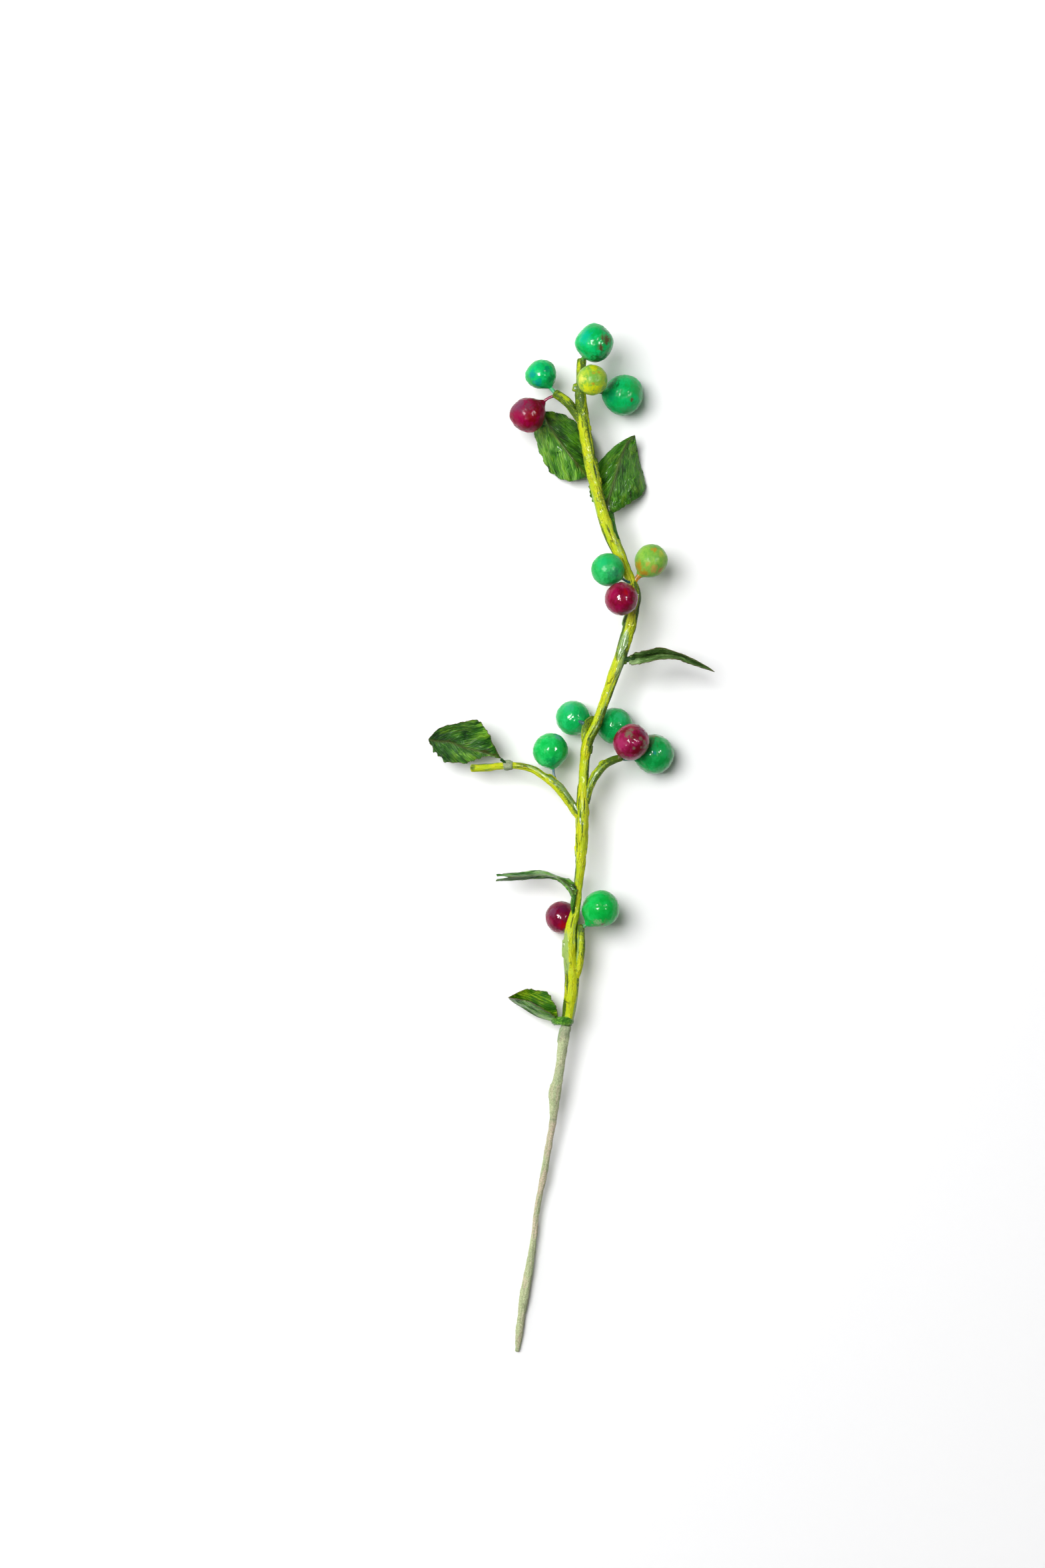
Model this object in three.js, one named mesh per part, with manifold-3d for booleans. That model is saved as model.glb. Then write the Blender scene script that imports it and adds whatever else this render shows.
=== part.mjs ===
// A handmade chokeberry sprig, lying on its back on a flat surface.
// Units are millimetres. +Y runs from the cut end to the top berry, +Z is up, and the
// surface is z = 0 with the origin under the middle of the sprig's outer box.
import * as THREE from "three";
import { mergeVertices } from "three/addons/utils/BufferGeometryUtils.js";
import Module from "manifold-3d";

const wasm = await Module();
wasm.setup();

// ---------------------------------------------------------------- driving dimensions

const JOIN_GAP = 0.3; // what two pieces that touch keep between them
const LEAF_THICKNESS = 0.35; // two plies of crepe paper, where the leaf is wide
const LEAF_TAPER = 0.15; // thickness at most this share of the way from margin to margin
const LEAF_CROWN = 0.7; // how far a wide half bulges between the rib and its margin
const LEAF_CROWN_SHARE = 0.08; // bulge at most this share of a half's width
const LEAF_STEPS_ALONG = 12;
const LEAF_STEPS_ACROSS = 4;
const STEM_SIDES = 10;
const STALK_SIDES = 8;
const STEM_STEP = 3.2; // length of a facet along the stem
const STALK_STEP = 1.8;
const COLLAR_STEP = 1.2;
const BERRY_SEGMENTS = 16;
const BERRY_RINGS = 10;
const BERRY_NECK = 0.35; // how far a berry swells up round its stalk
const BERRY_NECK_ANGLE = 0.3; // half angle of that swelling, in radians

const MERGE_DISTANCE = 1e-4; // vertices closer than this are one vertex

const FINISHES = {
  stem: { color: 0xb9c81e, roughness: 0.4 },
  tape: { color: 0xb4cba0, roughness: 0.8 },
  leaf: { color: 0x2c6a2e, roughness: 0.5 },
  green: { color: 0x18a04c, roughness: 0.3 },
  lime: { color: 0x9cbf3c, roughness: 0.3 },
  blush: { color: 0x62a040, roughness: 0.3 },
  crimson: { color: 0x9b1038, roughness: 0.3 },
  wire: { color: 0x9a7448, roughness: 0.6 },
};

// ---------------------------------------------------------------- stem and branches
// Each route point is [x, y, z, radius]: the wrapped wire swells at every joint.

const MAIN_STEM = [
  [3.5, 160.0, 14.5, 1.5],
  [3.2, 151.6, 14.5, 1.6],
  [3.3, 145.0, 14.5, 1.8],
  [4.0, 138.6, 14.5, 1.8],
  [6.9, 122.6, 14.4, 1.9],
  [9.8, 110.9, 14.0, 1.7],
  [12.0, 103.2, 14.0, 1.7],
  [13.6, 99.9, 14.0, 1.9],
  [15.5, 96.4, 14.0, 1.9],
  [18.7, 88.9, 14.0, 1.5],
  [20.5, 85.4, 13.8, 1.4],
  [21.6, 81.7, 13.6, 1.4],
  [20.3, 75.3, 13.5, 1.9],
  [17.4, 65.2, 13.5, 2.0],
  [15.9, 60.3, 13.5, 1.6],
  [11.7, 48.4, 13.5, 1.6],
  [8.0, 38.3, 13.5, 1.5],
  [5.8, 34.0, 13.4, 1.7],
  [4.3, 25.1, 13.1, 1.5],
  [3.7, 12.9, 12.8, 1.9],
  [3.5, 0.4, 12.5, 1.9],
  [2.7, -11.3, 12.3, 1.4],
  [1.9, -20.1, 12.1, 1.3],
  [0.1, -28.7, 11.9, 2.0],
  [-0.3, -35.0, 11.5, 2.1],
  [0.4, -43.3, 10.9, 2.3],
  [0.1, -51.3, 10.3, 2.0],
  [-1.3, -59.8, 9.7, 1.7],
];

const SHANK = [
  [-1.4, -60.2, 9.65, 1.6],
  [-2.4, -65.5, 9.1, 1.7],
  [-3.8, -75.8, 8.0, 1.5],
  [-5.3, -83.6, 7.2, 1.9],
  [-5.6, -88.4, 6.7, 1.5],
  [-6.0, -92.8, 6.3, 1.1],
  [-9.2, -111.6, 4.5, 1.1],
  [-11.1, -121.6, 3.7, 0.9],
  [-12.4, -132.4, 2.9, 1.0],
  [-14.6, -146.5, 2.1, 1.4],
  [-15.7, -152.8, 1.75, 1.5],
  [-16.4, -157.7, 1.4, 1.2],
  [-17.2, -164.0, 1.2, 1.2],
  [-17.9, -170.3, 0.9, 0.6],
];

const BRANCHES = {
  top_fork: [
    [3.5, 137.0, 14.5, 1.2],
    [1.7, 141.3, 14.5, 1.4],
    [-1.8, 145.9, 14.7, 1.5],
    [-5.8, 148.6, 14.8, 1.4],
  ],
  bracket_branch: [
    [5.1, 32.6, 13.2, 1.0],
    [3.4, 37.2, 12.5, 1.05],
    [4.2, 39.0, 12.2, 1.05],
    [6.0, 40.1, 11.0, 1.0],
    [7.2, 40.4, 10.2, 1.0],
    [8.4, 40.4, 9.7, 0.9],
  ],
  left_branch: [
    [3.2, 7.9, 12.6, 1.4],
    [-1.4, 14.8, 12.5, 1.4],
    [-5.1, 19.4, 12.0, 1.4],
    [-8.8, 22.2, 11.6, 1.2],
    [-13.0, 24.7, 11.1, 1.2],
    [-19.7, 25.5, 10.3, 1.1],
    [-28.7, 24.9, 9.4, 1.1],
    [-33.4, 24.6, 9.0, 1.1],
  ],
  right_branch: [
    [4.8, 12.7, 12.9, 1.1],
    [5.9, 17.6, 13.3, 1.2],
    [7.0, 20.9, 13.4, 1.2],
    [9.1, 24.0, 13.3, 1.2],
    [11.5, 26.0, 13.0, 1.2],
    [17.0, 28.0, 11.8, 1.0],
  ],
  lower_branch: [
    [1.6, -44.6, 11.3, 1.1],
    [2.6, -41.5, 11.6, 1.2],
    [3.5, -35.0, 12.0, 1.3],
    [3.3, -27.2, 12.0, 1.1],
  ],
};

// The tape collar that binds the left branch's leaf to it.
const LEAF_COLLAR = [
  [-19.2, 25.5, 10.4, 1.6],
  [-20.9, 25.5, 10.2, 1.9],
  [-22.4, 25.4, 10.0, 1.6],
];

// Every piece of wood that a stalk can grow from.
const WOOD = { main_stem: MAIN_STEM, leaf_collar: LEAF_COLLAR, ...BRANCHES };

// ---------------------------------------------------------------- berries
// centre and radius, then the stalk's route from the wood to just inside the berry.

const BERRIES = [
  {
    finish: "green", centre: [7.6, 164.2, 20.5], radius: 6.3, grows: "main_stem",
    stalk: [[3.5, 158.4, 14.5, 0.7], [4.2, 160.2, 16.2, 0.7], [5.8, 162.3, 18.4, 0.7]],
  },
  {
    finish: "green", centre: [-9.9, 154.6, 13.5], radius: 5.1, grows: "top_fork",
    stalk: [[-5.0, 148.1, 15.0, 0.7], [-6.4, 149.7, 14.6, 0.6], [-7.9, 151.4, 13.9, 0.6]],
  },
  {
    finish: "crimson", centre: [-14.3, 141.4, 13.5], radius: 5.8, grows: "top_fork",
    stalk: [[-5.8, 147.5, 14.4, 0.5], [-8.1, 146.4, 14.1, 0.5], [-9.8, 145.1, 13.9, 0.6],
      [-11.2, 144.0, 13.6, 0.9]],
  },
  {
    finish: "lime", centre: [6.9, 152.1, 20.5], radius: 5.0, grows: "main_stem",
    stalk: [[3.6, 148.3, 14.5, 0.7], [4.9, 149.5, 16.5, 0.6], [5.9, 150.7, 18.5, 0.6]],
  },
  {
    finish: "green", centre: [17.4, 148.5, 6.8], radius: 6.8, grows: "main_stem",
    stalk: [[3.8, 149.1, 13.8, 0.7], [7.3, 149.3, 11.8, 0.6], [10.2, 149.1, 9.6, 0.6],
      [13.4, 148.8, 8.0, 0.7]],
  },
  {
    finish: "green", centre: [12.0, 89.9, 18.8], radius: 5.4, grows: "main_stem",
    stalk: [[20.3, 85.6, 14.2, 0.6], [18.5, 86.2, 15.6, 0.5], [16.7, 87.1, 17.2, 0.5],
      [14.9, 88.3, 18.2, 0.5]],
  },
  {
    finish: "blush", centre: [26.4, 93.1, 14.0], radius: 5.4, grows: "main_stem",
    stalk: [[20.7, 85.2, 14.0, 0.5], [21.8, 87.2, 14.1, 0.6], [23.3, 89.2, 14.1, 1.0],
      [24.7, 90.9, 14.0, 1.3]],
  },
  {
    finish: "crimson", centre: [16.4, 80.1, 22.4], radius: 5.5, grows: "main_stem",
    stalk: [[21.2, 83.4, 14.0, 0.6], [20.3, 82.8, 16.6, 0.6], [18.9, 81.8, 19.4, 0.6]],
  },
  {
    finish: "green", centre: [-6.8, 30.6, 11.5], radius: 5.9, grows: "left_branch",
    stalk: [[-5.2, 19.8, 12.3, 0.6], [-5.6, 22.3, 12.1, 0.5], [-6.0, 24.9, 11.9, 0.5],
      [-6.3, 26.8, 11.7, 0.5]],
  },
  {
    finish: "green", centre: [0.8, 41.3, 5.85], radius: 5.8, grows: "bracket_branch",
    stalk: [[4.6, 39.2, 12.5, 0.7], [3.6, 39.7, 12.1, 0.7], [2.4, 40.4, 10.2, 0.7]],
  },
  {
    finish: "green", centre: [14.7, 38.7, 6.1], radius: 6.05, grows: "bracket_branch",
    stalk: [[8.2, 40.4, 9.7, 0.6], [10.4, 40.0, 8.2, 0.6], [12.4, 39.5, 7.0, 0.6]],
  },
  {
    finish: "crimson", centre: [19.8, 33.2, 16.3], radius: 6.05, grows: "right_branch",
    stalk: [[15.4, 27.3, 12.4, 0.6], [16.6, 28.9, 13.4, 0.6], [18.0, 30.5, 14.6, 0.6]],
  },
  {
    finish: "green", centre: [27.8, 29.3, 6.65], radius: 6.6, grows: "right_branch",
    stalk: [[17.0, 27.7, 11.6, 0.6], [20.2, 27.4, 10.2, 0.6], [23.1, 27.9, 8.6, 0.7],
      [25.0, 28.5, 7.6, 0.7]],
  },
  {
    finish: "crimson", centre: [-3.1, -25.0, 5.45], radius: 5.4, grows: "main_stem",
    stalk: [[0.6, -28.5, 11.0, 0.7], [-0.4, -27.3, 8.6, 0.6], [-1.7, -26.2, 6.8, 0.6]],
  },
  {
    finish: "green", centre: [9.8, -22.0, 12.0], radius: 6.2, grows: "lower_branch",
    stalk: [[3.5, -28.0, 12.1, 0.9], [4.9, -27.2, 12.3, 0.6], [6.4, -26.0, 12.2, 0.6],
      [7.8, -24.5, 12.1, 0.7]],
  },
];

// ---------------------------------------------------------------- leaves
// Each leaf is two crepe-paper halves on a rib. The rib and the two margins are given
// from the base to the tip, and stalk is the wire that carries the leaf to the wood.

const LEAVES = [
  {
    grows: "main_stem",
    rib: [[5.3, 121.6, 8.8], [2.5, 125.1, 8.8], [-0.8, 129.1, 8.4], [-4.1, 133.6, 7.6],
      [-7.2, 138.6, 6.4], [-9.2, 143.3, 5.0]],
    left: [[4.0, 120.6, 7.2], [-1.0, 120.2, 4.0], [-6.8, 123.9, 0.9], [-10.2, 130.2, 0.6],
      [-12.1, 137.1, 0.8], [-11.2, 142.3, 2.8]],
    right: [[6.0, 122.9, 8.0], [7.6, 127.3, 6.4], [7.2, 132.1, 5.0], [4.2, 137.7, 4.3],
      [-1.6, 141.9, 4.3], [-7.4, 143.8, 4.6]],
    stalk: [[5.7, 121.0, 9.2, 0.6], [6.8, 119.3, 10.8, 0.6], [7.6, 117.2, 13.4, 0.7]],
  },
  {
    grows: "main_stem",
    rib: [[13.0, 108.7, 9.6], [12.2, 111.9, 10.0], [13.5, 117.2, 10.2], [15.1, 122.8, 9.8],
      [16.7, 128.1, 8.8], [18.7, 132.7, 7.4], [21.2, 135.2, 6.0]],
    left: [[12.1, 109.6, 8.6], [9.2, 111.5, 6.8], [6.8, 114.7, 5.6], [6.3, 118.7, 4.8],
      [7.9, 123.7, 4.2], [11.5, 128.8, 4.2], [17.3, 134.0, 5.2]],
    right: [[14.1, 108.9, 9.0], [17.8, 111.4, 7.0], [21.9, 114.3, 4.6], [24.6, 117.2, 2.4],
      [24.4, 121.7, 0.9], [23.1, 126.2, 1.2], [22.0, 132.7, 4.0]],
    stalk: [[13.1, 108.1, 10.4, 0.7], [13.5, 106.2, 12.8, 0.8], [14.2, 103.4, 13.9, 0.8],
      [15.1, 100.6, 14.3, 0.7]],
  },
  {
    grows: "main_stem",
    rib: [[19.1, 60.5, 13.0], [21.2, 61.0, 12.6], [25.6, 61.8, 11.8], [31.0, 62.5, 11.0],
      [35.6, 61.9, 10.6], [41.4, 59.7, 10.4], [47.5, 56.5, 10.6]],
    left: [[19.2, 61.0, 14.4], [20.9, 62.4, 16.6], [25.2, 63.4, 18.2], [29.1, 64.3, 18.6],
      [34.0, 63.0, 17.6], [39.1, 61.1, 15.6], [46.3, 57.7, 11.9]],
    right: [[19.2, 60.0, 14.4], [20.4, 58.7, 16.8], [23.8, 59.2, 18.4], [28.7, 60.3, 18.8],
      [34.6, 60.4, 18.0], [39.1, 58.9, 16.0], [46.1, 56.9, 11.9]],
    stalk: [[15.4, 60.1, 13.5, 1.0], [17.2, 60.3, 13.4, 0.9], [18.6, 60.5, 13.1, 0.7]],
  },
  {
    grows: "leaf_collar",
    rib: [[-23.2, 27.7, 11.0], [-26.7, 29.1, 10.6], [-32.2, 30.6, 10.0], [-36.4, 31.7, 9.6],
      [-39.9, 33.2, 9.3], [-43.9, 33.5, 9.1], [-47.6, 34.1, 9.0]],
    left: [[-23.8, 28.8, 11.4], [-26.3, 33.7, 12.2], [-28.1, 37.7, 12.4],
      [-30.9, 40.4, 12.2], [-36.8, 39.8, 11.6], [-42.8, 38.2, 10.6], [-46.9, 35.5, 9.6]],
    right: [[-24.1, 27.8, 10.6], [-27.5, 28.5, 10.4], [-31.3, 27.5, 10.4],
      [-35.5, 26.2, 10.4], [-41.7, 27.0, 10.0], [-45.2, 29.9, 9.6], [-47.4, 33.1, 9.2]],
    stalk: [[-20.9, 25.1, 10.9, 0.4], [-21.9, 26.5, 11.4, 0.4], [-22.9, 27.4, 11.1, 0.4]],
    stalkFinish: "wire",
  },
  {
    grows: "main_stem",
    rib: [[1.1, -17.9, 14.5], [0.2, -15.4, 14.9], [-1.9, -13.2, 15.0], [-4.6, -11.6, 14.8],
      [-9.9, -10.6, 14.0], [-16.3, -11.2, 13.0], [-23.6, -11.7, 12.0]],
    left: [[1.5, -17.2, 14.2], [1.0, -14.2, 13.6], [-0.6, -12.2, 11.4], [-4.3, -10.6, 8.8],
      [-9.9, -9.5, 7.4], [-16.7, -10.0, 7.6], [-24.6, -10.6, 10.4]],
    right: [[0.4, -17.9, 13.8], [-1.0, -15.9, 12.2], [-3.3, -13.9, 10.4],
      [-6.3, -12.3, 8.8], [-11.2, -12.3, 7.6], [-17.2, -12.7, 7.8], [-24.8, -12.9, 10.2]],
    stalk: [[0.9, -18.4, 14.5, 0.6], [0.4, -20.9, 14.4, 0.7], [0.3, -23.3, 13.8, 0.7],
      [0.7, -25.5, 13.0, 0.6]],
  },
  {
    grows: "main_stem",
    rib: [[-6.0, -58.8, 6.8], [-8.0, -58.6, 6.0], [-10.6, -58.1, 5.3], [-13.4, -56.6, 4.8],
      [-16.5, -54.6, 5.2], [-18.9, -53.1, 6.6], [-20.6, -51.5, 8.6]],
    left: [[-4.6, -57.7, 8.0], [-4.4, -56.1, 7.9], [-5.2, -54.4, 7.4], [-7.4, -50.8, 7.0],
      [-11.4, -48.9, 7.0], [-15.6, -49.0, 7.6], [-19.6, -50.7, 8.4]],
    right: [[-5.0, -57.3, 9.6], [-6.4, -56.1, 11.6], [-9.0, -54.7, 12.6],
      [-12.1, -53.1, 12.6], [-14.7, -52.2, 12.0], [-17.4, -51.8, 11.0], [-20.2, -51.5, 9.4]],
    stalk: [[-5.4, -59.7, 8.4, 1.1], [-4.1, -59.4, 10.8, 1.1], [-2.0, -59.3, 12.5, 1.1],
      [0.1, -59.3, 12.2, 0.9]],
  },
];

// ---------------------------------------------------------------- shape functions

const toVector = ([x, y, z]) => new THREE.Vector3(x, y, z);

function smoothRoute(points) {
  return new THREE.CatmullRomCurve3(points.map(toVector), false, "centripetal");
}

// Value of a list at parameter t from 0 to 1, straight between its entries.
function along(values, t) {
  const place = THREE.MathUtils.clamp(t, 0, 1) * (values.length - 1);
  const first = Math.min(Math.floor(place), values.length - 2);
  return THREE.MathUtils.lerp(values[first], values[first + 1], place - first);
}

function meshFrom(positions, triangles) {
  const geometry = new THREE.BufferGeometry();
  geometry.setAttribute("position", new THREE.Float32BufferAttribute(positions, 3));
  geometry.setIndex(triangles);
  geometry.computeVertexNormals();
  return geometry;
}

// A round rod along a route of [x, y, z, radius] points, closed by a flat end at each end.
// extra makes it fatter and longer all over, for a tool that cuts a clearance.
function roundRod(points, sides, stepLength, extra = 0) {
  const route = smoothRoute(points);
  const steps = Math.max(2, Math.round(route.getLength() / stepLength));
  const frames = route.computeFrenetFrames(steps, false);
  const radii = points.map((point) => point[3]);
  const positions = [];
  const triangles = [];
  for (let step = 0; step <= steps; step += 1) {
    const t = route.getUtoTmapping(step / steps);
    const centre = route.getPoint(t);
    if (step === 0) centre.addScaledVector(frames.tangents[0], -extra);
    if (step === steps) centre.addScaledVector(frames.tangents[steps], extra);
    const radius = along(radii, t) + extra;
    for (let side = 0; side < sides; side += 1) {
      const angle = (side / sides) * 2 * Math.PI;
      const rim = centre.clone();
      rim.addScaledVector(frames.normals[step], radius * Math.cos(angle));
      rim.addScaledVector(frames.binormals[step], radius * Math.sin(angle));
      positions.push(rim.x, rim.y, rim.z);
    }
  }
  for (let step = 0; step < steps; step += 1) {
    for (let side = 0; side < sides; side += 1) {
      const here = step * sides + side;
      const beside = step * sides + ((side + 1) % sides);
      triangles.push(here, beside, here + sides);
      triangles.push(beside, beside + sides, here + sides);
    }
  }
  const lastRing = steps * sides;
  for (let side = 1; side < sides - 1; side += 1) {
    triangles.push(0, side + 1, side);
    triangles.push(lastRing, lastRing + side, lastRing + side + 1);
  }
  return meshFrom(positions, triangles);
}

// A ball turned about its stalk's axis, swelling into a short neck where the stalk enters.
function berryBall(radius, extra = 0) {
  const profile = [];
  for (let ring = 0; ring <= BERRY_RINGS; ring += 1) {
    const angle = Math.PI * (1 - ring / BERRY_RINGS);
    const neck = BERRY_NECK * Math.exp(-((angle / BERRY_NECK_ANGLE) ** 2));
    const reach = radius + neck + extra;
    const onAxis = ring === 0 || ring === BERRY_RINGS;
    const out = onAxis ? 0 : reach * Math.sin(angle);
    profile.push(new THREE.Vector2(out, reach * Math.cos(angle)));
  }
  return new THREE.LatheGeometry(profile, BERRY_SEGMENTS);
}

// How wide a leaf is at t from base to tip, as a share of its margins: full width over
// most of its length, rounding in to a narrow end at the base and at the tip.
function leafWidth(t) {
  const END_SHARE = 0.14;
  const SQUARENESS = 12;
  return Math.max(END_SHARE, Math.sqrt(1 - Math.abs(2 * t - 1) ** SQUARENESS));
}

// A leaf as a thin closed sheet: straight across from rib to margin, bulged by the crown.
function leafSheet({ rib, left, right }) {
  const ribCurve = smoothRoute(rib);
  const margins = [smoothRoute(left), smoothRoute(right)];
  const rows = LEAF_STEPS_ALONG + 1;
  const columns = 2 * LEAF_STEPS_ACROSS + 1;
  const middle = [];
  const thickness = [];
  for (let row = 0; row < rows; row += 1) {
    const t = row / LEAF_STEPS_ALONG;
    const centre = ribCurve.getPoint(t);
    const ends = margins.map((margin) => margin.getPoint(t));
    const across = ends[1].clone().sub(ends[0]);
    thickness.push(Math.min(LEAF_THICKNESS, LEAF_TAPER * across.length() * leafWidth(t)));
    const crownWay = new THREE.Vector3().crossVectors(across, ribCurve.getTangent(t));
    crownWay.normalize();
    for (let column = 0; column < columns; column += 1) {
      const offset = (column - LEAF_STEPS_ACROSS) / LEAF_STEPS_ACROSS;
      const share = Math.abs(offset);
      const margin = offset < 0 ? ends[0] : ends[1];
      const halfWidth = centre.distanceTo(margin) * leafWidth(t);
      const crown = Math.min(LEAF_CROWN, LEAF_CROWN_SHARE * halfWidth);
      const point = centre.clone().lerp(margin, share * leafWidth(t));
      point.addScaledVector(crownWay, crown * Math.sin(Math.PI * share));
      middle.push(point);
    }
  }
  const at = (row, column) => middle[
    THREE.MathUtils.clamp(row, 0, rows - 1) * columns
    + THREE.MathUtils.clamp(column, 0, columns - 1)];
  const positions = [];
  for (const face of [1, -1]) {
    for (let row = 0; row < rows; row += 1) {
      for (let column = 0; column < columns; column += 1) {
        const alongWay = at(row + 1, column).clone().sub(at(row - 1, column));
        const acrossWay = at(row, column + 1).clone().sub(at(row, column - 1));
        const outward = acrossWay.cross(alongWay).normalize();
        const point = at(row, column).clone();
        point.addScaledVector(outward, (face * thickness[row]) / 2);
        positions.push(point.x, point.y, point.z);
      }
    }
  }
  const triangles = [];
  const under = rows * columns;
  for (let row = 0; row < rows - 1; row += 1) {
    for (let column = 0; column < columns - 1; column += 1) {
      const a = row * columns + column;
      const b = a + 1;
      const c = a + columns;
      const d = c + 1;
      triangles.push(a, b, c, b, d, c);
      triangles.push(under + a, under + c, under + b, under + b, under + c, under + d);
    }
  }
  const rim = [];
  for (let column = 0; column < columns; column += 1) rim.push(column);
  for (let row = 1; row < rows; row += 1) rim.push(row * columns + columns - 1);
  for (let column = columns - 2; column >= 0; column -= 1) {
    rim.push((rows - 1) * columns + column);
  }
  for (let row = rows - 2; row > 0; row -= 1) rim.push(row * columns);
  rim.forEach((here, place) => {
    const next = rim[(place + 1) % rim.length];
    triangles.push(here, under + here, next, next, under + here, under + next);
  });
  return meshFrom(positions, triangles);
}

// ---------------------------------------------------------------- solids and clearances

function toSolid(geometry) {
  const bare = geometry.clone();
  bare.deleteAttribute("normal");
  bare.deleteAttribute("uv");
  const merged = mergeVertices(bare, MERGE_DISTANCE);
  return new wasm.Manifold(new wasm.Mesh({
    numProp: 3,
    vertProperties: merged.attributes.position.array,
    triVerts: new Uint32Array(merged.index.array),
  }));
}

// The geometry with the tools cut away, keeping its largest body.
function cutClear(geometry, tools) {
  let solid = toSolid(geometry);
  for (const tool of tools) solid = solid.subtract(toSolid(tool));
  const bodies = solid.decompose().sort((a, b) => b.volume() - a.volume());
  const kept = bodies[0].getMesh();
  return meshFrom(Array.from(kept.vertProperties), Array.from(kept.triVerts));
}

// ---------------------------------------------------------------- assembly

const rodCutter = (points) => roundRod(points, STEM_SIDES, STALK_STEP, JOIN_GAP);

const paint = (finish) => new THREE.MeshStandardMaterial({ ...FINISHES[finish], metalness: 0 });

function add(group, name, geometry, material) {
  const mesh = new THREE.Mesh(geometry, material);
  mesh.name = name;
  group.add(mesh);
  return mesh;
}

// Puts a ball at its berry's centre, turned so that its neck points along its stalk.
function seatBerry(ball, { centre, stalk }) {
  const middle = toVector(centre);
  const way = toVector(stalk[stalk.length - 2]).sub(middle).normalize();
  ball.position.copy(middle);
  ball.quaternion.setFromUnitVectors(new THREE.Vector3(0, 1, 0), way);
  ball.updateMatrix();
  return ball;
}

function berryCutter(berry) {
  const ball = seatBerry(new THREE.Mesh(berryBall(berry.radius, JOIN_GAP)), berry);
  return ball.geometry.applyMatrix4(ball.matrix);
}

function buildWood() {
  const wood = new THREE.Group();
  const stemCutter = rodCutter(MAIN_STEM);
  add(wood, "main_stem", roundRod(MAIN_STEM, STEM_SIDES, STEM_STEP), paint("stem"));
  add(wood, "shank", roundRod(SHANK, STEM_SIDES, STEM_STEP), paint("tape"));
  for (const [name, points] of Object.entries(BRANCHES)) {
    const rod = roundRod(points, STEM_SIDES, STALK_STEP);
    add(wood, name, cutClear(rod, [stemCutter]), paint("stem"));
  }
  const collar = roundRod(LEAF_COLLAR, STEM_SIDES, COLLAR_STEP);
  const bored = cutClear(collar, [rodCutter(BRANCHES.left_branch)]);
  add(wood, "leaf_collar", bored, paint("tape"));
  return wood;
}

function buildFruit() {
  const fruit = new THREE.Group();
  BERRIES.forEach((berry, index) => {
    const number = index + 1;
    const ball = berryBall(berry.radius);
    seatBerry(add(fruit, `berry_${number}`, ball, paint(berry.finish)), berry);
    const rod = roundRod(berry.stalk, STALK_SIDES, STALK_STEP);
    const stalk = cutClear(rod, [berryCutter(berry), rodCutter(WOOD[berry.grows])]);
    add(fruit, `berry_stalk_${number}`, stalk, paint(berry.finish));
  });
  return fruit;
}

function buildLeaves() {
  const foliage = new THREE.Group();
  LEAVES.forEach((leaf, index) => {
    const number = index + 1;
    add(foliage, `leaf_${number}`, leafSheet(leaf), paint("leaf"));
    const rod = roundRod(leaf.stalk, STALK_SIDES, STALK_STEP);
    const stalk = cutClear(rod, [rodCutter(WOOD[leaf.grows])]);
    add(foliage, `leaf_stalk_${number}`, stalk, paint(leaf.stalkFinish ?? "leaf"));
  });
  return foliage;
}

const sprig = new THREE.Group();
sprig.name = "chokeberry_sprig";
sprig.add(buildWood(), buildFruit(), buildLeaves());

export default sprig;
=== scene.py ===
"""Looks of a handmade chokeberry sprig that lies on its back on a pale surface.

Lengths in the tables are millimetres in the part's own frame: +Y runs from the cut end to
the top berry, +X is to the right and +Z points up, away from the surface at z = 0.
"""
import math

import bpy
import numpy as np
from bpy.props import FloatProperty, FloatVectorProperty, PointerProperty
from bpy.types import Operator, Panel, PropertyGroup
from mathutils import Matrix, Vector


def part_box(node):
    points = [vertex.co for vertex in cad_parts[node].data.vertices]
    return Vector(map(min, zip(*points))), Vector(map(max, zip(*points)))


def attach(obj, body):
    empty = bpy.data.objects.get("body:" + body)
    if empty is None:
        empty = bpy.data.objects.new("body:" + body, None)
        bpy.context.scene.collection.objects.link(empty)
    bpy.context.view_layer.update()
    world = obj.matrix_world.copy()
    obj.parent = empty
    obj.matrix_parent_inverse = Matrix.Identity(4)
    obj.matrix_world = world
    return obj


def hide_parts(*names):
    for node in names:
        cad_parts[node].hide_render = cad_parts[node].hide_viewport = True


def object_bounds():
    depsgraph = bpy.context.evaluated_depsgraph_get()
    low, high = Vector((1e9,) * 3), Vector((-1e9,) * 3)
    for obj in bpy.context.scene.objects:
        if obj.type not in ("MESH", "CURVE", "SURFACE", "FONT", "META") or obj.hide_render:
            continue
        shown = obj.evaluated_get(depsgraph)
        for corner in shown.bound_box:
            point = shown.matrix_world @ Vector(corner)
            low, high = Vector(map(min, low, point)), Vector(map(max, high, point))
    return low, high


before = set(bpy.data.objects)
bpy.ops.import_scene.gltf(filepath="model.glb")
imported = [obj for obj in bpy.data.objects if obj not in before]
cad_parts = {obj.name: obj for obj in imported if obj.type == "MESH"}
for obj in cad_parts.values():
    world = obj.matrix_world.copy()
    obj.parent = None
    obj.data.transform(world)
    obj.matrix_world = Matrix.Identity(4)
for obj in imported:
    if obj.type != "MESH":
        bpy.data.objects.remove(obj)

CAD_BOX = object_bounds()

bl_info = {
    "name": "Chokeberry Sprig",
    "version": (1, 0, 0),
    "blender": (4, 5, 0),
    "location": "3D View > Sidebar > Sprig",
    "description": "Builds the wrapped stem, lacquered berries and crepe-paper leaves of a sprig",
    "category": "Object",
}

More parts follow.
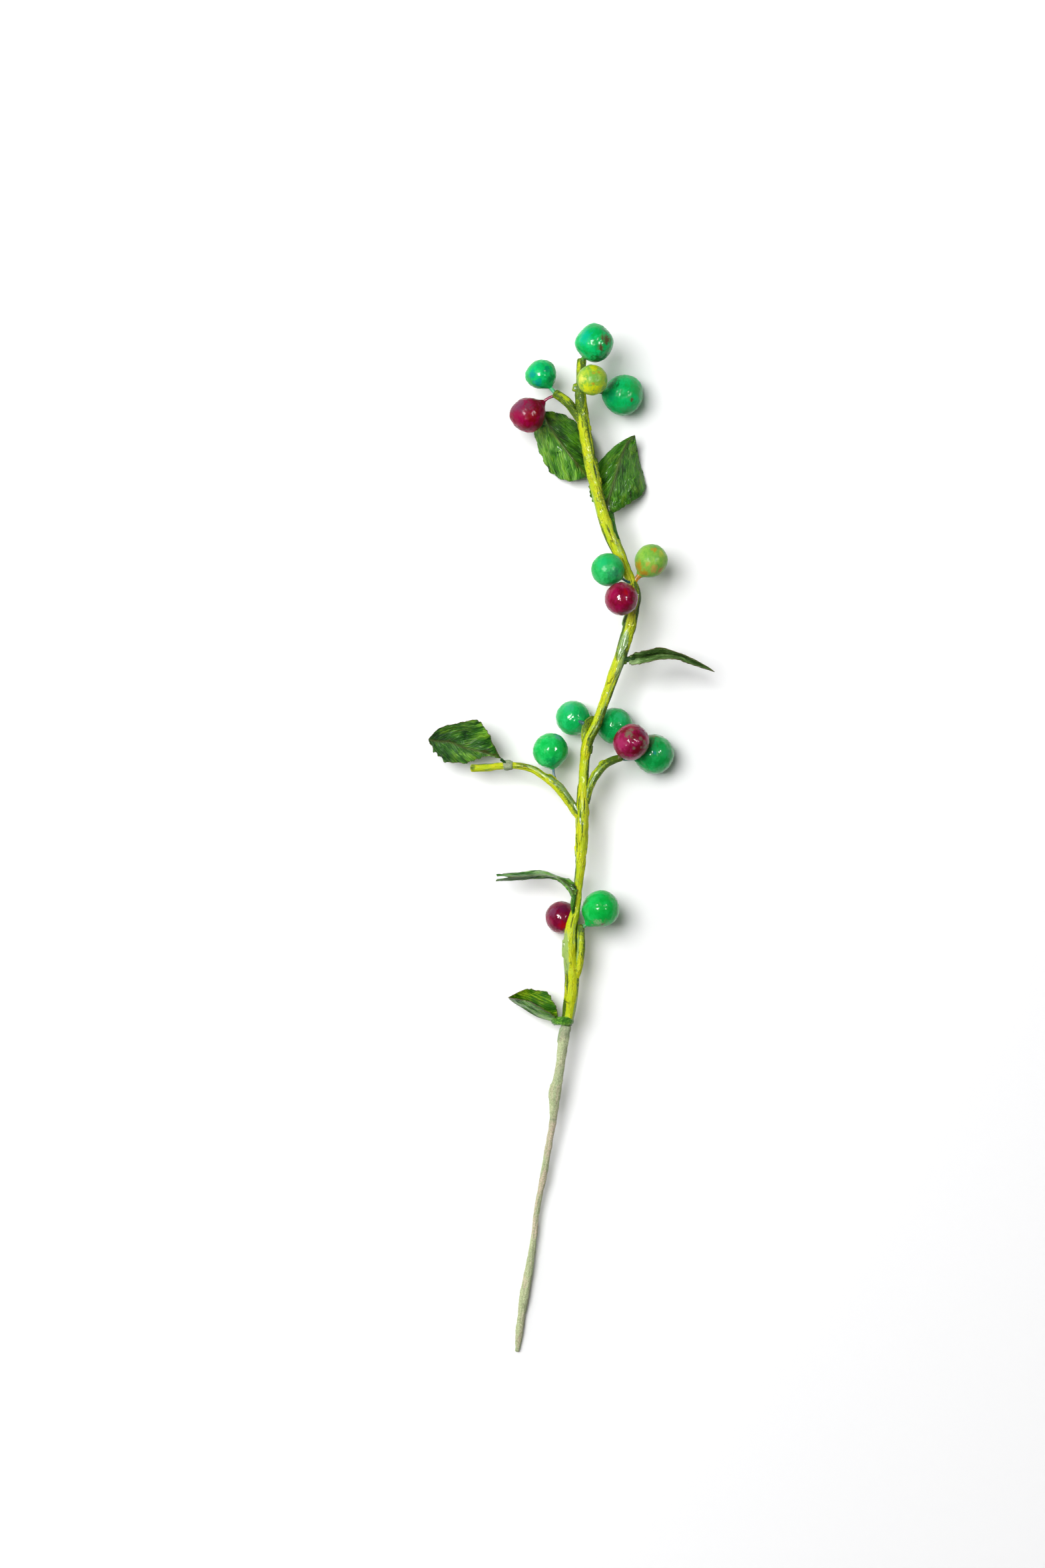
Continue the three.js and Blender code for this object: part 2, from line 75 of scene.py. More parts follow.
MM = 0.001
TURN = 2 * math.pi
SEEDS = {"stem": 100, "shank": 200, "branches": 300, "collar": 500, "berry_stalks": 600,
         "leaves": 700, "leaf_stalks": 900}
SEED_STEP = 20
HALF_SEED_STEP = 7

# ------------------------------------------------------------------ wood
# A route's points are x, y, z and radius. The wrapped wire swells at every joint.
#
# A stroke of paint is kind, place, angle, half length, half width in degrees, strength; the
# kind clear takes earlier strokes away. The place is y on a rod that runs up or down the
# sprig and x on one that leaves it sideways. Slits and loose tabs of the tape are place,
# angle, half length, half width and depth or height.
# A slit is also darkened with painted shade.

MAIN_STEM = [
    (3.5, 160, 14.5, 1.5), (3.2, 151.6, 14.5, 1.6), (3.3, 145, 14.5, 1.9), (4.1, 138.6, 14.5, 2),
    (5.6, 130, 14.5, 2.05), (7, 122.6, 14.4, 2), (9.8, 110.9, 14, 1.85), (12.2, 103.2, 14, 2.05),
    (13.7, 99.9, 14, 2.05), (15.5, 96.4, 14, 1.95), (18.7, 88.9, 14, 1.55), (20.5, 85.4, 13.8, 1.5),
    (21.6, 81.7, 13.6, 1.45), (20.2, 75.3, 13.5, 2), (18.8, 70, 13.5, 2.1), (17.4, 65.2, 13.5, 2),
    (15.9, 60.3, 13.5, 2), (13.6, 54, 13.5, 1.85), (11.7, 48.4, 13.5, 1.65), (8, 38.3, 13.5, 1.6),
    (5.8, 34, 13.4, 1.8), (4.9, 30, 13.2, 1.75), (4.4, 25.1, 13.1, 1.55), (3.8, 12.9, 12.8, 2.05),
    (3.5, 0.4, 12.5, 2.1), (3.2, -6, 12.4, 1.7), (2.7, -11.3, 12.3, 1.5), (1.9, -20.1, 12.1, 1.35),
    (0.1, -28.7, 11.9, 2), (-0.4, -35, 11.5, 2.2), (0.3, -43.3, 10.9, 2.35), (0, -51.3, 10.3, 2.3),
    (-1.3, -59.8, 9.7, 1.75), (-1.5, -61, 9.55, 1.5),
]
# Sage strokes are partly grey-green paint and partly painted sheen of the varnish.
STEM_STROKES = [
    ("moss", -61.6, 90, 2.2, 400, 1), ("moss", 128, 90, 26, 175, 0.2), ("moss", 131, 156, 7, 16, 0.8),
    ("moss", 93, 20, 6, 20, 0.8), ("moss", 104, 152, 5, 14, 0.8), ("moss", 140, 70, 5, 70, 0.5),
    ("moss", 156, 90, 10, 150, 0.7), ("clear", 156.5, 120, 2.6, 26, 0.8),
    ("clear", 151.5, 60, 1.6, 22, 0.7), ("moss", 146.6, 118, 6.4, 84, 0.86),
    ("clear", 133, 125, 9.5, 42, 1), ("moss", 134, 58, 8, 11, 0.95), ("moss", 128.5, 10, 9, 36, 1),
    # The moss stroke at 122.7 mm, angle 60, lies on the slit there: painted shade in it.
    ("clear", 131, 36, 7, 7, 0.8), ("moss", 122.7, 60, 3.4, 9, 1), ("clear", 119, 105, 5.5, 42, 1),
    ("moss", 115, 20, 4, 14, 0.9), ("sage", 112.5, 155, 5, 20, 0.8), ("moss", 110, 172, 6, 12, 0.9),
    ("clear", 107, 110, 5, 42, 1), ("moss", 99, 168, 6, 18, 1), ("sage", 97, 70, 4, 24, 0.6),
    ("clear", 91, 115, 6.5, 55, 1), ("moss", 84, 60, 2.6, 50, 0.7), ("moss", 79, 18, 8, 50, 1),
    ("moss", 73, 146, 5.5, 11, 1), ("sage", 73.5, 170, 6, 14, 0.9), ("clear", 75, 95, 4.5, 22, 1),
    ("clear", 70, 30, 5, 10, 1), ("moss", 70, 0, 6.5, 32, 1), ("sage", 65.5, 100, 5.5, 48, 1),
    ("moss", 61.5, 26, 3.4, 46, 0.8), ("moss", 70.5, 158, 9, 34, 1), ("moss", 64.5, 110, 5.5, 80, 0.8),
    ("sage", 57, 125, 3.5, 18, 0.6), ("clear", 50, 125, 12, 52, 1), ("moss", 50, 4, 18, 48, 0.95),
    # The sage stroke at 44 mm, angle 74, is a painted highlight line.
    ("moss", 38, 46, 10, 72, 0.74), ("sage", 44, 74, 15, 8, 0.75), ("moss", 47, 0, 16, 30, 0.9),
    ("sage", 58, 60, 5, 34, 0.9), ("moss", 31, 12, 3.2, 24, 1), ("clear", 27, 120, 8, 48, 1),
    ("moss", 22, 16, 9, 54, 0.95), ("moss", 16, 166, 5, 18, 0.95), ("moss", 13, 128, 3, 9, 0.9),
    ("moss", 9, 108, 3.2, 9, 0.95), ("moss", 5, 88, 2.8, 8, 0.9), ("sage", 8, 150, 4.5, 14, 0.6),
    ("clear", 4, 55, 5.5, 28, 1), ("moss", 0, 140, 4, 10, 0.8), ("clear", -4, 80, 6.5, 48, 1),
    ("moss", -9.5, 172, 7.5, 38, 1), ("sage", -5.5, 150, 4.5, 10, 0.7), ("clear", -12, 60, 8, 38, 1),
    ("moss", -24, 115, 4, 12, 0.9), ("clear", -29, 110, 6, 38, 1), ("sage", -30, 62, 4.5, 9, 0.7),
    ("moss", -30, 20, 6, 30, 0.9), ("clear", -46, 80, 12, 36, 1), ("sage", -36.5, 144, 9, 50, 1),
    ("moss", -44.5, 128, 8, 6, 0.9), ("moss", -47, 178, 9, 26, 0.9), ("moss", -46, 32, 6, 18, 0.65),
    ("moss", -56, 152, 5.5, 34, 1), ("sage", -55.5, 22, 6, 34, 1),
]
STEM_SLITS = [
    (122.7, 60, 3, 8, 0.3), (103, 84, 2.2, 8, 0.3), (127, 40, 2, 6, 0.25), (79.5, 40, 2.8, 6, 0.25),
    (73.5, 150, 1.6, 10, 0.4), (36, 95, 4, 6, 0.35), (-26.3, 98, 2.4, 8, 0.35),
    (-45, 140, 3.6, 6, 0.25), (12.5, 70, 3, 6, 0.25), (138, 105, 1.5, 7, 0.25),
]
STEM_TABS = [
    (150.2, 168, 1.5, 26, 1.05), (124.6, 8, 2.2, 20, 0.45), (74, 172, 3.2, 24, 0.4),
    (-35, 172, 3, 30, 0.45), (60.8, 8, 1.3, 30, 0.7), (31, 12, 1.6, 20, 0.35), (-3, 172, 2, 20, 0.25),
    (136.5, 4, 1, 20, 0.3), (119, 6, 1.2, 18, 0.3),
]

SHANK = [
    (-1.4, -60.2, 9.65, 1.6), (-2.4, -65.5, 9.1, 1.7), (-3.8, -75.8, 8, 1.5), (-5.3, -83.6, 7.2, 1.9),
    (-5.6, -88.4, 6.7, 1.5), (-6, -92.8, 6.3, 1.1), (-9.2, -111.6, 4.5, 1.1), (-11.1, -121.6, 3.7, 0.9),
    (-12.4, -132.4, 2.9, 1), (-14.6, -146.5, 2.1, 1.4), (-15.7, -152.8, 1.75, 1.5),
    (-16.4, -157.7, 1.4, 1.2), (-17.2, -164, 1.2, 1.2), (-17.9, -170.2, 0.9, 0.55),
]
SHANK_STROKES = [
    ("moss", -62, 110, 3, 400, 0.75), ("moss", -64.9, 164, 1.5, 46, 0.8), ("sage", -98, 90, 8, 170, 1),
    ("sage", -113.5, 60, 5, 150, 0.9), ("sage", -128, 90, 5, 110, 0.8),
    ("moss", -92, 90, 0.5, 120, 0.8), ("moss", -77, 90, 4, 60, 0.35),
]
SHANK_TABS = [(-64.2, 166, 2.8, 56, 0.34), (-82.8, 172, 2.6, 40, 0.26)]

LEAF_COLLAR = [(-19, 25.5, 10.4, 1.4), (-20.7, 25.5, 10.2, 1.58), (-22.6, 25.4, 10, 1.38)]
COLLAR_STROKES = [("moss", -20.8, 90, 6, 400, 0.85)]
COLLAR_TABS = [(-21.4, 25, 1.7, 60, 0.35)]

# yellow and sage say how much of those two paints a branch has.
# The sage on the branches is partly paint and partly painted sheen, as on the stem.
BRANCHES = {
    "top_fork": dict(
        route=[(4.2, 136.6, 14.4, 0.9), (1.9, 141, 14.5, 1.35), (-1.8, 145.9, 14.7, 1.5),
               (-5.8, 148.6, 14.8, 1.4)],
        strokes=[("moss", 144.5, 90, 9, 170, 0.72), ("moss", 143.5, 130, 3.4, 40, 0.9),
                 ("clear", 146.4, 60, 1.4, 30, 0.8), ("moss", 140.5, 40, 2, 30, 0.9)],
        slits=[(142.5, 40, 1.4, 12, 0.25)],
        yellow=0, sage=0.4),
    "bracket_branch": dict(
        route=[(5.2, 31.5, 13.1, 0.9), (4.6, 34.4, 12.9, 1.2), (4.7, 37.2, 12.5, 1.3),
               (5.6, 39.7, 12, 1.2), (7, 40.8, 11, 1.05), (8.4, 40.6, 9.9, 0.9),
               (9.7, 40.4, 9.3, 0.75)],
        strokes=[("moss", 37, 90, 9, 170, 0.52), ("moss", 39, 120, 4, 60, 0.75),
                 ("sage", 38, 150, 3, 16, 0.6), ("moss", 35, 20, 3.4, 24, 1)],
        slits=[(36, 30, 3, 14, 0.35)],
        yellow=0, sage=0.3),
    "left_branch": dict(
        route=[(3.2, 7.9, 12.6, 1.5), (-1.4, 14.8, 12.5, 1.6), (-3.3, 17.2, 12.3, 1.7),
               (-5.2, 19.2, 12, 1.6), (-7, 20.7, 11.8, 1.5), (-9, 21.9, 11.6, 1.2),
               (-13, 24.4, 11.1, 1.1), (-19.7, 25.5, 10.3, 1.1), (-28.7, 24.8, 9.4, 1.25),
               (-33.4, 24.6, 9, 1.2)],
        strokes=[("moss", -1, 62, 7.8, 60, 0.66), ("sage", -2.5, 58, 6.5, 36, 0.7),
                 ("moss", -7, 50, 2.4, 30, 0.8), ("clear", -1, 152, 8, 30, 1),
                 ("moss", -12.5, 40, 7.5, 36, 0.55), ("sage", -12, 74, 7, 30, 0.8),
                 ("moss", -16, 120, 4, 14, 0.7), ("moss", -28.5, 22, 5.5, 34, 0.62),
                 ("moss", -26.8, 128, 3, 16, 0.5), ("moss", -32.4, 80, 0.9, 80, 0.5),
                 ("clear", -24.8, 90, 1.2, 80, 1)],
        tabs=[(-7, 10, 1.2, 24, 0.3)],
        yellow=0.75, sage=0.4),
    "right_branch": dict(
        route=[(4.8, 12.7, 12.9, 1.2), (6, 17.6, 13.3, 1.35), (7.2, 20.7, 13.4, 1.4),
               (9.3, 23.8, 13.3, 1.45), (11.5, 26, 13, 1.4), (14.2, 27.4, 12.4, 1.3),
               (17, 28.2, 11.8, 1.1)],
        strokes=[("moss", 20, 90, 12, 170, 0.5), ("clear", 20.5, 150, 4, 16, 0.8),
                 ("moss", 23.5, 62, 5, 34, 0.85), ("sage", 22, 100, 5, 16, 0.8),
                 ("moss", 27.3, 90, 1.4, 120, 1), ("sage", 16, 120, 2.4, 30, 0.9),
                 ("moss", 17.5, 84, 1.6, 12, 1), ("moss", 14, 30, 3, 30, 0.9)],
        slits=[(15.5, 120, 1.6, 16, 0.2)],
        tabs=[(25.4, 140, 0.8, 30, 0.55), (22.4, 150, 0.7, 24, 0.3)],
        yellow=0.1, sage=0.4),
    "lower_branch": dict(
        route=[(1.5, -45, 11.3, 1.2), (2.4, -41.5, 11.6, 1.4), (3.2, -35, 12, 1.45),
               (3.2, -30.5, 12, 1.35), (3.3, -27, 12, 1.15)],
        strokes=[("moss", -31.5, 90, 7, 170, 0.46), ("moss", -28, 90, 2.2, 90, 0.95),
                 ("moss", -34, 22, 6, 34, 0.85), ("clear", -34, 95, 4, 24, 1),
                 ("sage", -35, 130, 7, 14, 0.9), ("moss", -37, 165, 9, 26, 1)],
        yellow=0.5, sage=0.4),
}

# ------------------------------------------------------------------ berries
# Colours are linear. A patch is right, up, size and colour, and a flat is right, up, depth
# and width in radians; right, up, size and depth are shares of the berry's radius, on the
# side that faces up. dull makes the lacquer rougher and thinner, 1 being the usual one.
# neck is how far the paint climbs the stalk, in millimetres.

GREEN = (0.0, 0.37, 0.07)
MINT = (0.003, 0.50, 0.135)
# Painted shade: the deep green put on the shaded side of a berry.
PAINTED_SHADE_GREEN = (0.0, 0.10, 0.022)
TEAL = (0.0, 0.27, 0.22)
CRIMSON = (0.15, 0.0, 0.01)
MAGENTA = (0.27, 0.0, 0.045)
BRIGHT_RED = (0.33, 0.0, 0.006)
DUSK = (0.16, 0.035, 0.085)
MAROON = (0.11, 0.02, 0.018)
ORANGE = (0.50, 0.245, 0.012)
LEMON = (0.62, 0.66, 0.0)
LIME = (0.40, 0.54, 0.03)
LEAF_GREEN = (0.15, 0.40, 0.04)
OLIVE = (0.13, 0.17, 0.04)
ASH = (0.155, 0.135, 0.085)

BERRIES = [
    dict(slot="green_berry", colours=(GREEN, MINT), seed=21, dull=1.8, neck=0.5,
         stalk_colour=(0.1, 0.3, 0.05),
         flats=[(-0.75, 0.62, 0.07, 0.5), (-0.68, -0.72, 0.09, 0.55), (0.82, -0.55, 0.06, 0.5),
                (0.72, 0.68, 0.05, 0.4), (-1, 0, -0.05, 0.4), (0, 1, -0.04, 0.4),
                (-0.2, 0.3, 0.03, 0.4)],
         # The deep green patch near this berry's bottom is painted shade.
         patches=[(0.62, 0.08, 0.3, MAROON), (0.3, -0.35, 0.18, MAROON), (0.25, -0.95, 0.6, PAINTED_SHADE_GREEN),
                  (-0.55, 0.3, 0.45, (0, 0.4, 0.23)), (0.55, 0.62, 0.3, (0.02, 0.28, 0.09))],
         stalk=[(3.5, 158.4, 14.5, 0.7), (4.2, 160.2, 16.2, 0.7), (5.8, 162.3, 18.4, 0.7)]),
    dict(slot="green_berry", colours=(GREEN, MINT), seed=2, dull=1.2, neck=0.7,
         stalk_colour=(0.06, 0.4, 0.16),
         flats=[(-0.1, -1, 0.08, 0.5), (-0.75, 0.66, 0.05, 0.45), (0.8, -0.1, 0.05, 0.5),
                (0.7, 0.72, -0.05, 0.35), (-1, -0.1, -0.06, 0.4), (0.2, 0.2, 0.03, 0.4)],
         patches=[(-0.62, -0.05, 0.34, TEAL), (-0.2, -0.62, 0.3, TEAL),
                  (0.42, 0.3, 0.3, (0, 0.26, 0.12)), (0.62, -0.35, 0.25, (0, 0.22, 0.07)),
                  (-0.25, 0.55, 0.3, (0.003, 0.38, 0.13))],
         stalk=[(-5, 148.1, 15, 0.7), (-6.4, 149.7, 14.6, 0.6), (-7.9, 151.4, 13.9, 0.6)]),
    dict(slot="crimson_berry", colours=(CRIMSON, MAGENTA), seed=5, dull=2.4, neck=1.2,
         stalk_colour=(0.28, 0.01, 0.06),
         flats=[(0.1, 1, 0.06, 0.5), (-0.7, 0.7, 0.04, 0.4), (-0.6, -0.75, 0.06, 0.5),
                (0.9, -0.3, 0.05, 0.5), (-1, 0.05, -0.05, 0.4), (0.3, -0.95, -0.03, 0.4),
                (0.1, 0.1, 0.03, 0.4)],
         patches=[(-0.55, 0.45, 0.55, DUSK), (0.22, -0.25, 0.45, (0.21, 0, 0.002)),
                  (-0.62, -0.15, 0.35, MAGENTA), (0.1, -1, 0.35, (0.42, 0.07, 0.1)),
                  (0.05, 0.45, 0.3, (0.17, 0.03, 0.06))],
         stalk=[(-5.8, 147.5, 14.4, 0.5), (-8.1, 146.4, 14.1, 0.5), (-9.8, 145.1, 13.9, 0.6),
                (-11.2, 144, 13.6, 0.9)]),
    dict(slot="lime_berry", colours=(LIME, LEAF_GREEN), seed=4, dull=3.2, neck=0.4,
         stalk_colour=(0.3, 0.42, 0.04),
         flats=[(0.6, 0.75, 0.02, 0.5), (-0.8, -0.5, 0.02, 0.5)],
         patches=[(0.35, 0, 0.42, LEAF_GREEN), (0.1, 0.76, 0.36, LEMON), (-0.3, -0.66, 0.42, LEMON),
                  (0.35, -0.68, 0.36, LEMON), (-0.72, 0.05, 0.34, (0.66, 0.66, 0.1)),
                  (0.02, 0.34, 0.13, ORANGE), (0.42, 0.42, 0.11, ORANGE), (0.05, -0.32, 0.13, ORANGE)],
         stalk=[(3.6, 148.3, 14.5, 0.7), (4.9, 149.5, 16.5, 0.6), (5.9, 150.7, 18.5, 0.6)]),
    dict(slot="green_berry", colours=(GREEN, MINT), seed=12, dull=2.2, neck=0.6,
         stalk_colour=(0.05, 0.28, 0.06),
         flats=[(-0.72, 0.66, 0.08, 0.45), (0.15, 1, -0.02, 0.4), (0.75, 0.7, -0.05, 0.35),
                (0.98, -0.05, 0.06, 0.45), (0.7, -0.72, 0.05, 0.45), (-0.75, -0.65, 0.06, 0.5),
                (-1, 0, -0.03, 0.4), (0.1, -1, 0.02, 0.5), (0, 1, 0.03, 0.5)],
         # The deep green patch at this berry's upper left is painted shade.
         patches=[(-0.55, 0.52, 0.38, PAINTED_SHADE_GREEN), (-0.58, -0.15, 0.36, (0, 0.36, 0.12)),
                  (0.42, -0.3, 0.12, MAROON), (0.68, 0.25, 0.45, (0.02, 0.34, 0.07)),
                  (0.15, -0.85, 0.4, (0.03, 0.36, 0.1))],
         stalk=[(3.8, 149.1, 13.8, 0.7), (7.3, 149.3, 11.8, 0.6), (10.2, 149.1, 9.6, 0.6),
                (13.4, 148.8, 8, 0.7)]),
    dict(slot="green_berry", colours=((0.008, 0.37, 0.065), (0.03, 0.48, 0.125)), seed=6, dull=3.2,
         neck=0.4, stalk_colour=(0.012, 0.11, 0.1),
         flats=[(0.7, -0.7, 0.015, 0.5)],
         patches=[(0.35, -0.3, 0.4, (0.02, 0.22, 0.09)), (-0.3, 0.3, 0.45, (0.01, 0.44, 0.13)),
                  (0.1, -0.98, 0.3, (0.16, 0.22, 0.12))],
         stalk=[(20.3, 85.6, 14.2, 0.6), (18.5, 86.2, 15.6, 0.4), (16.7, 87.1, 17.2, 0.42),
                (14.9, 88.3, 18.2, 0.5)]),
    dict(slot="blush_berry", colours=((0.14, 0.39, 0.045), (0.25, 0.48, 0.055)), seed=7, dull=3,
         neck=1.3, stalk_colour=(0.5, 0.23, 0.008),
         flats=[(0.75, -0.62, 0.05, 0.5), (-0.8, 0.55, 0.04, 0.5), (0.2, 1, -0.02, 0.4),
                (0.95, 0.2, -0.02, 0.4)],
         patches=[(-0.78, -0.35, 0.36, ORANGE), (0.2, 0.62, 0.2, ORANGE),
                  (0.62, 0.45, 0.24, (0.55, 0.5, 0.05)), (0.15, -0.55, 0.26, (0.5, 0.3, 0.06)),
                  (0.6, -0.65, 0.3, (0.5, 0.24, 0.05)), (-0.45, -0.75, 0.3, ORANGE),
                  (-0.25, -0.25, 0.18, (0.45, 0.36, 0.05))],
         stalk=[(20.7, 85.2, 14, 0.5), (21.8, 87.2, 14.1, 0.8), (23.3, 89.2, 14.1, 1.4),
                (24.7, 90.9, 14, 1.7)]),
    dict(slot="crimson_berry", colours=(CRIMSON, (0.27, 0.002, 0.055)), seed=8, neck=0.4,
         stalk_colour=(0.25, 0.01, 0.05),
         flats=[(-0.6, 0.3, 0.015, 0.6), (0.5, -0.8, 0.02, 0.5)],
         patches=[(-0.6, 0.3, 0.45, MAGENTA), (0.3, 0.35, 0.22, BRIGHT_RED), (0.1, -0.92, 0.35, DUSK),
                  (0.1, -0.25, 0.35, (0.22, 0, 0.02))],
         stalk=[(21.2, 83.4, 14, 0.6), (20.3, 82.8, 16.6, 0.6), (18.9, 81.8, 19.4, 0.6)]),
    dict(slot="green_berry", colours=((0.002, 0.42, 0.06), (0.015, 0.52, 0.11)), seed=31, neck=0.5,
         stalk_colour=(0.002, 0.115, 0.155),
         flats=[(-0.7, 0.7, 0.02, 0.5), (0.6, -0.7, 0.02, 0.5)],
         patches=[(0.45, 0.78, 0.28, (0.1, 0.36, 0.3)), (0.15, -0.75, 0.45, (0, 0.3, 0.07))],
         stalk=[(-5.2, 19.8, 12.3, 0.5), (-5.6, 22.3, 12.1, 0.38), (-6, 24.9, 11.9, 0.4),
                (-6.3, 26.8, 11.7, 0.45)]),
    dict(slot="green_berry", colours=((0.002, 0.37, 0.075), (0.015, 0.48, 0.13)), seed=10, neck=0.5,
         stalk_colour=(0.004, 0.12, 0.11),
         flats=[(0.7, -0.65, 0.03, 0.5), (-0.7, -0.7, 0.02, 0.5)],
         patches=[(0.74, -0.36, 0.3, (0, 0.1, 0.07)), (0.86, -0.22, 0.14, (0.01, 0.22, 0.26)),
                  (0.55, 0.3, 0.4, (0, 0.3, 0.08)), (-0.3, 0.62, 0.35, (0.03, 0.4, 0.17))],
         stalk=[(4.6, 39.2, 12.5, 0.7), (3.6, 39.7, 12.1, 0.7), (2.4, 40.4, 10.2, 0.7)]),
    dict(slot="green_berry", colours=((0, 0.25, 0.04), (0.005, 0.38, 0.085)), seed=11, neck=0.4,
         stalk_colour=(0.03, 0.16, 0.02),
         flats=[(0.6, 0.7, 0.02, 0.5)],
         patches=[(-0.55, -0.15, 0.5, (0, 0.2, 0.04)), (0.3, 0.5, 0.4, (0.02, 0.42, 0.14))],
         stalk=[(8.2, 40.4, 9.7, 0.6), (10.4, 40, 8.2, 0.6), (12.4, 39.5, 7, 0.6)]),
    dict(slot="crimson_berry", colours=(CRIMSON, (0.3, 0.008, 0.075)), seed=19, neck=0.4,
         stalk_colour=(0.13, 0.14, 0.02),
         flats=[(-0.7, 0.7, 0.04, 0.45), (0.7, -0.65, 0.03, 0.5), (0.2, 0.2, 0.02, 0.5)],
         patches=[(0.42, -0.42, 0.45, (0.125, 0, 0.008)), (-0.62, -0.1, 0.42, (0.34, 0.02, 0.1)),
                  (0.05, 0.85, 0.32, (0.3, 0.03, 0.055)), (-0.16, 0.46, 0.27, ASH),
                  (-0.02, 0.66, 0.15, ASH), (0.52, 0.17, 0.13, ASH), (0.72, -0.02, 0.15, ASH),
                  (0.79, -0.27, 0.17, ASH), (0.12, -0.35, 0.09, ASH), (0.51, -0.3, 0.07, ASH),
                  (0.62, 0.55, 0.25, DUSK)],
         stalk=[(15.4, 27.3, 12.4, 0.6), (16.6, 28.9, 13.4, 0.6), (18, 30.5, 14.6, 0.6)]),
    dict(slot="green_berry", colours=((0.001, 0.28, 0.045), (0.01, 0.4, 0.09)), seed=13, neck=0.8,
         stalk_colour=(0.004, 0.13, 0.1),
         flats=[(-0.75, -0.62, 0.03, 0.5), (0.62, 0.75, 0.04, 0.5), (0.9, -0.4, 0.02, 0.5)],
         patches=[(-0.32, 0.6, 0.42, (0.05, 0.17, 0.05)), (-0.05, 0.92, 0.25, OLIVE),
                  (-0.02, 0.1, 0.12, TEAL), (0.62, 0.1, 0.3, (0.02, 0.34, 0.1)),
                  (-0.85, 0.3, 0.25, MAROON)],
         stalk=[(17, 27.7, 11.6, 0.6), (20.2, 27.8, 10.2, 0.6), (23.1, 28, 8.6, 0.7),
                (25, 28.5, 7.6, 0.7)]),
    dict(slot="crimson_berry", colours=((0.14, 0, 0.02), (0.22, 0.004, 0.04)), seed=14, neck=0.4,
         stalk_colour=(0.16, 0.05, 0.05),
         flats=[(-0.8, -0.5, 0.03, 0.5)],
         patches=[(0.05, 0.62, 0.42, (0.1, 0.005, 0.04)), (0.1, -0.48, 0.3, BRIGHT_RED),
                  (-0.55, 0.4, 0.35, DUSK), (-0.1, -0.95, 0.3, (0.34, 0.1, 0.13)),
                  (0.35, -0.8, 0.25, OLIVE)],
         stalk=[(0.6, -28.5, 11, 0.7), (-0.4, -27.3, 8.6, 0.6), (-1.7, -26.2, 6.8, 0.6)]),
    dict(slot="green_berry", colours=((0, 0.38, 0.042), (0.006, 0.47, 0.075)), seed=15, neck=1,
         stalk_colour=(0.07, 0.3, 0.1),
         flats=[(0.1, -1, 0.05, 0.55), (-0.7, 0.7, 0.02, 0.5), (0.95, 0.1, 0.02, 0.5)],
         patches=[(0, -0.9, 0.48, (0.075, 0.31, 0.07)), (-0.85, 0.35, 0.25, (0.05, 0.2, 0.06)),
                  (0.06, -0.8, 0.13, MAROON), (-0.15, -0.72, 0.25, (0.2, 0.42, 0.18))],
         stalk=[(3.5, -28, 12.1, 0.9), (4.9, -27.2, 12.3, 0.6), (6.4, -26, 12.2, 0.6),
                (7.8, -24.5, 12.1, 0.7)]),
]

# ------------------------------------------------------------------ leaves
# The rib and the two margins run from the base to the tip. halves names each half's crepe
# and ribbing is the angle in degrees between its pleats and the leaf's rib, left then right.
# A wash is x, y, size and how much lighter the crepe is there, and stalk_wash is the same
# all over the stalk. fork is how far the tips part, as a share of the half's width, pleats
# scales the height and the shading of the pleats, and rib_width is the half width of the
# ridge over the leaf's rib.

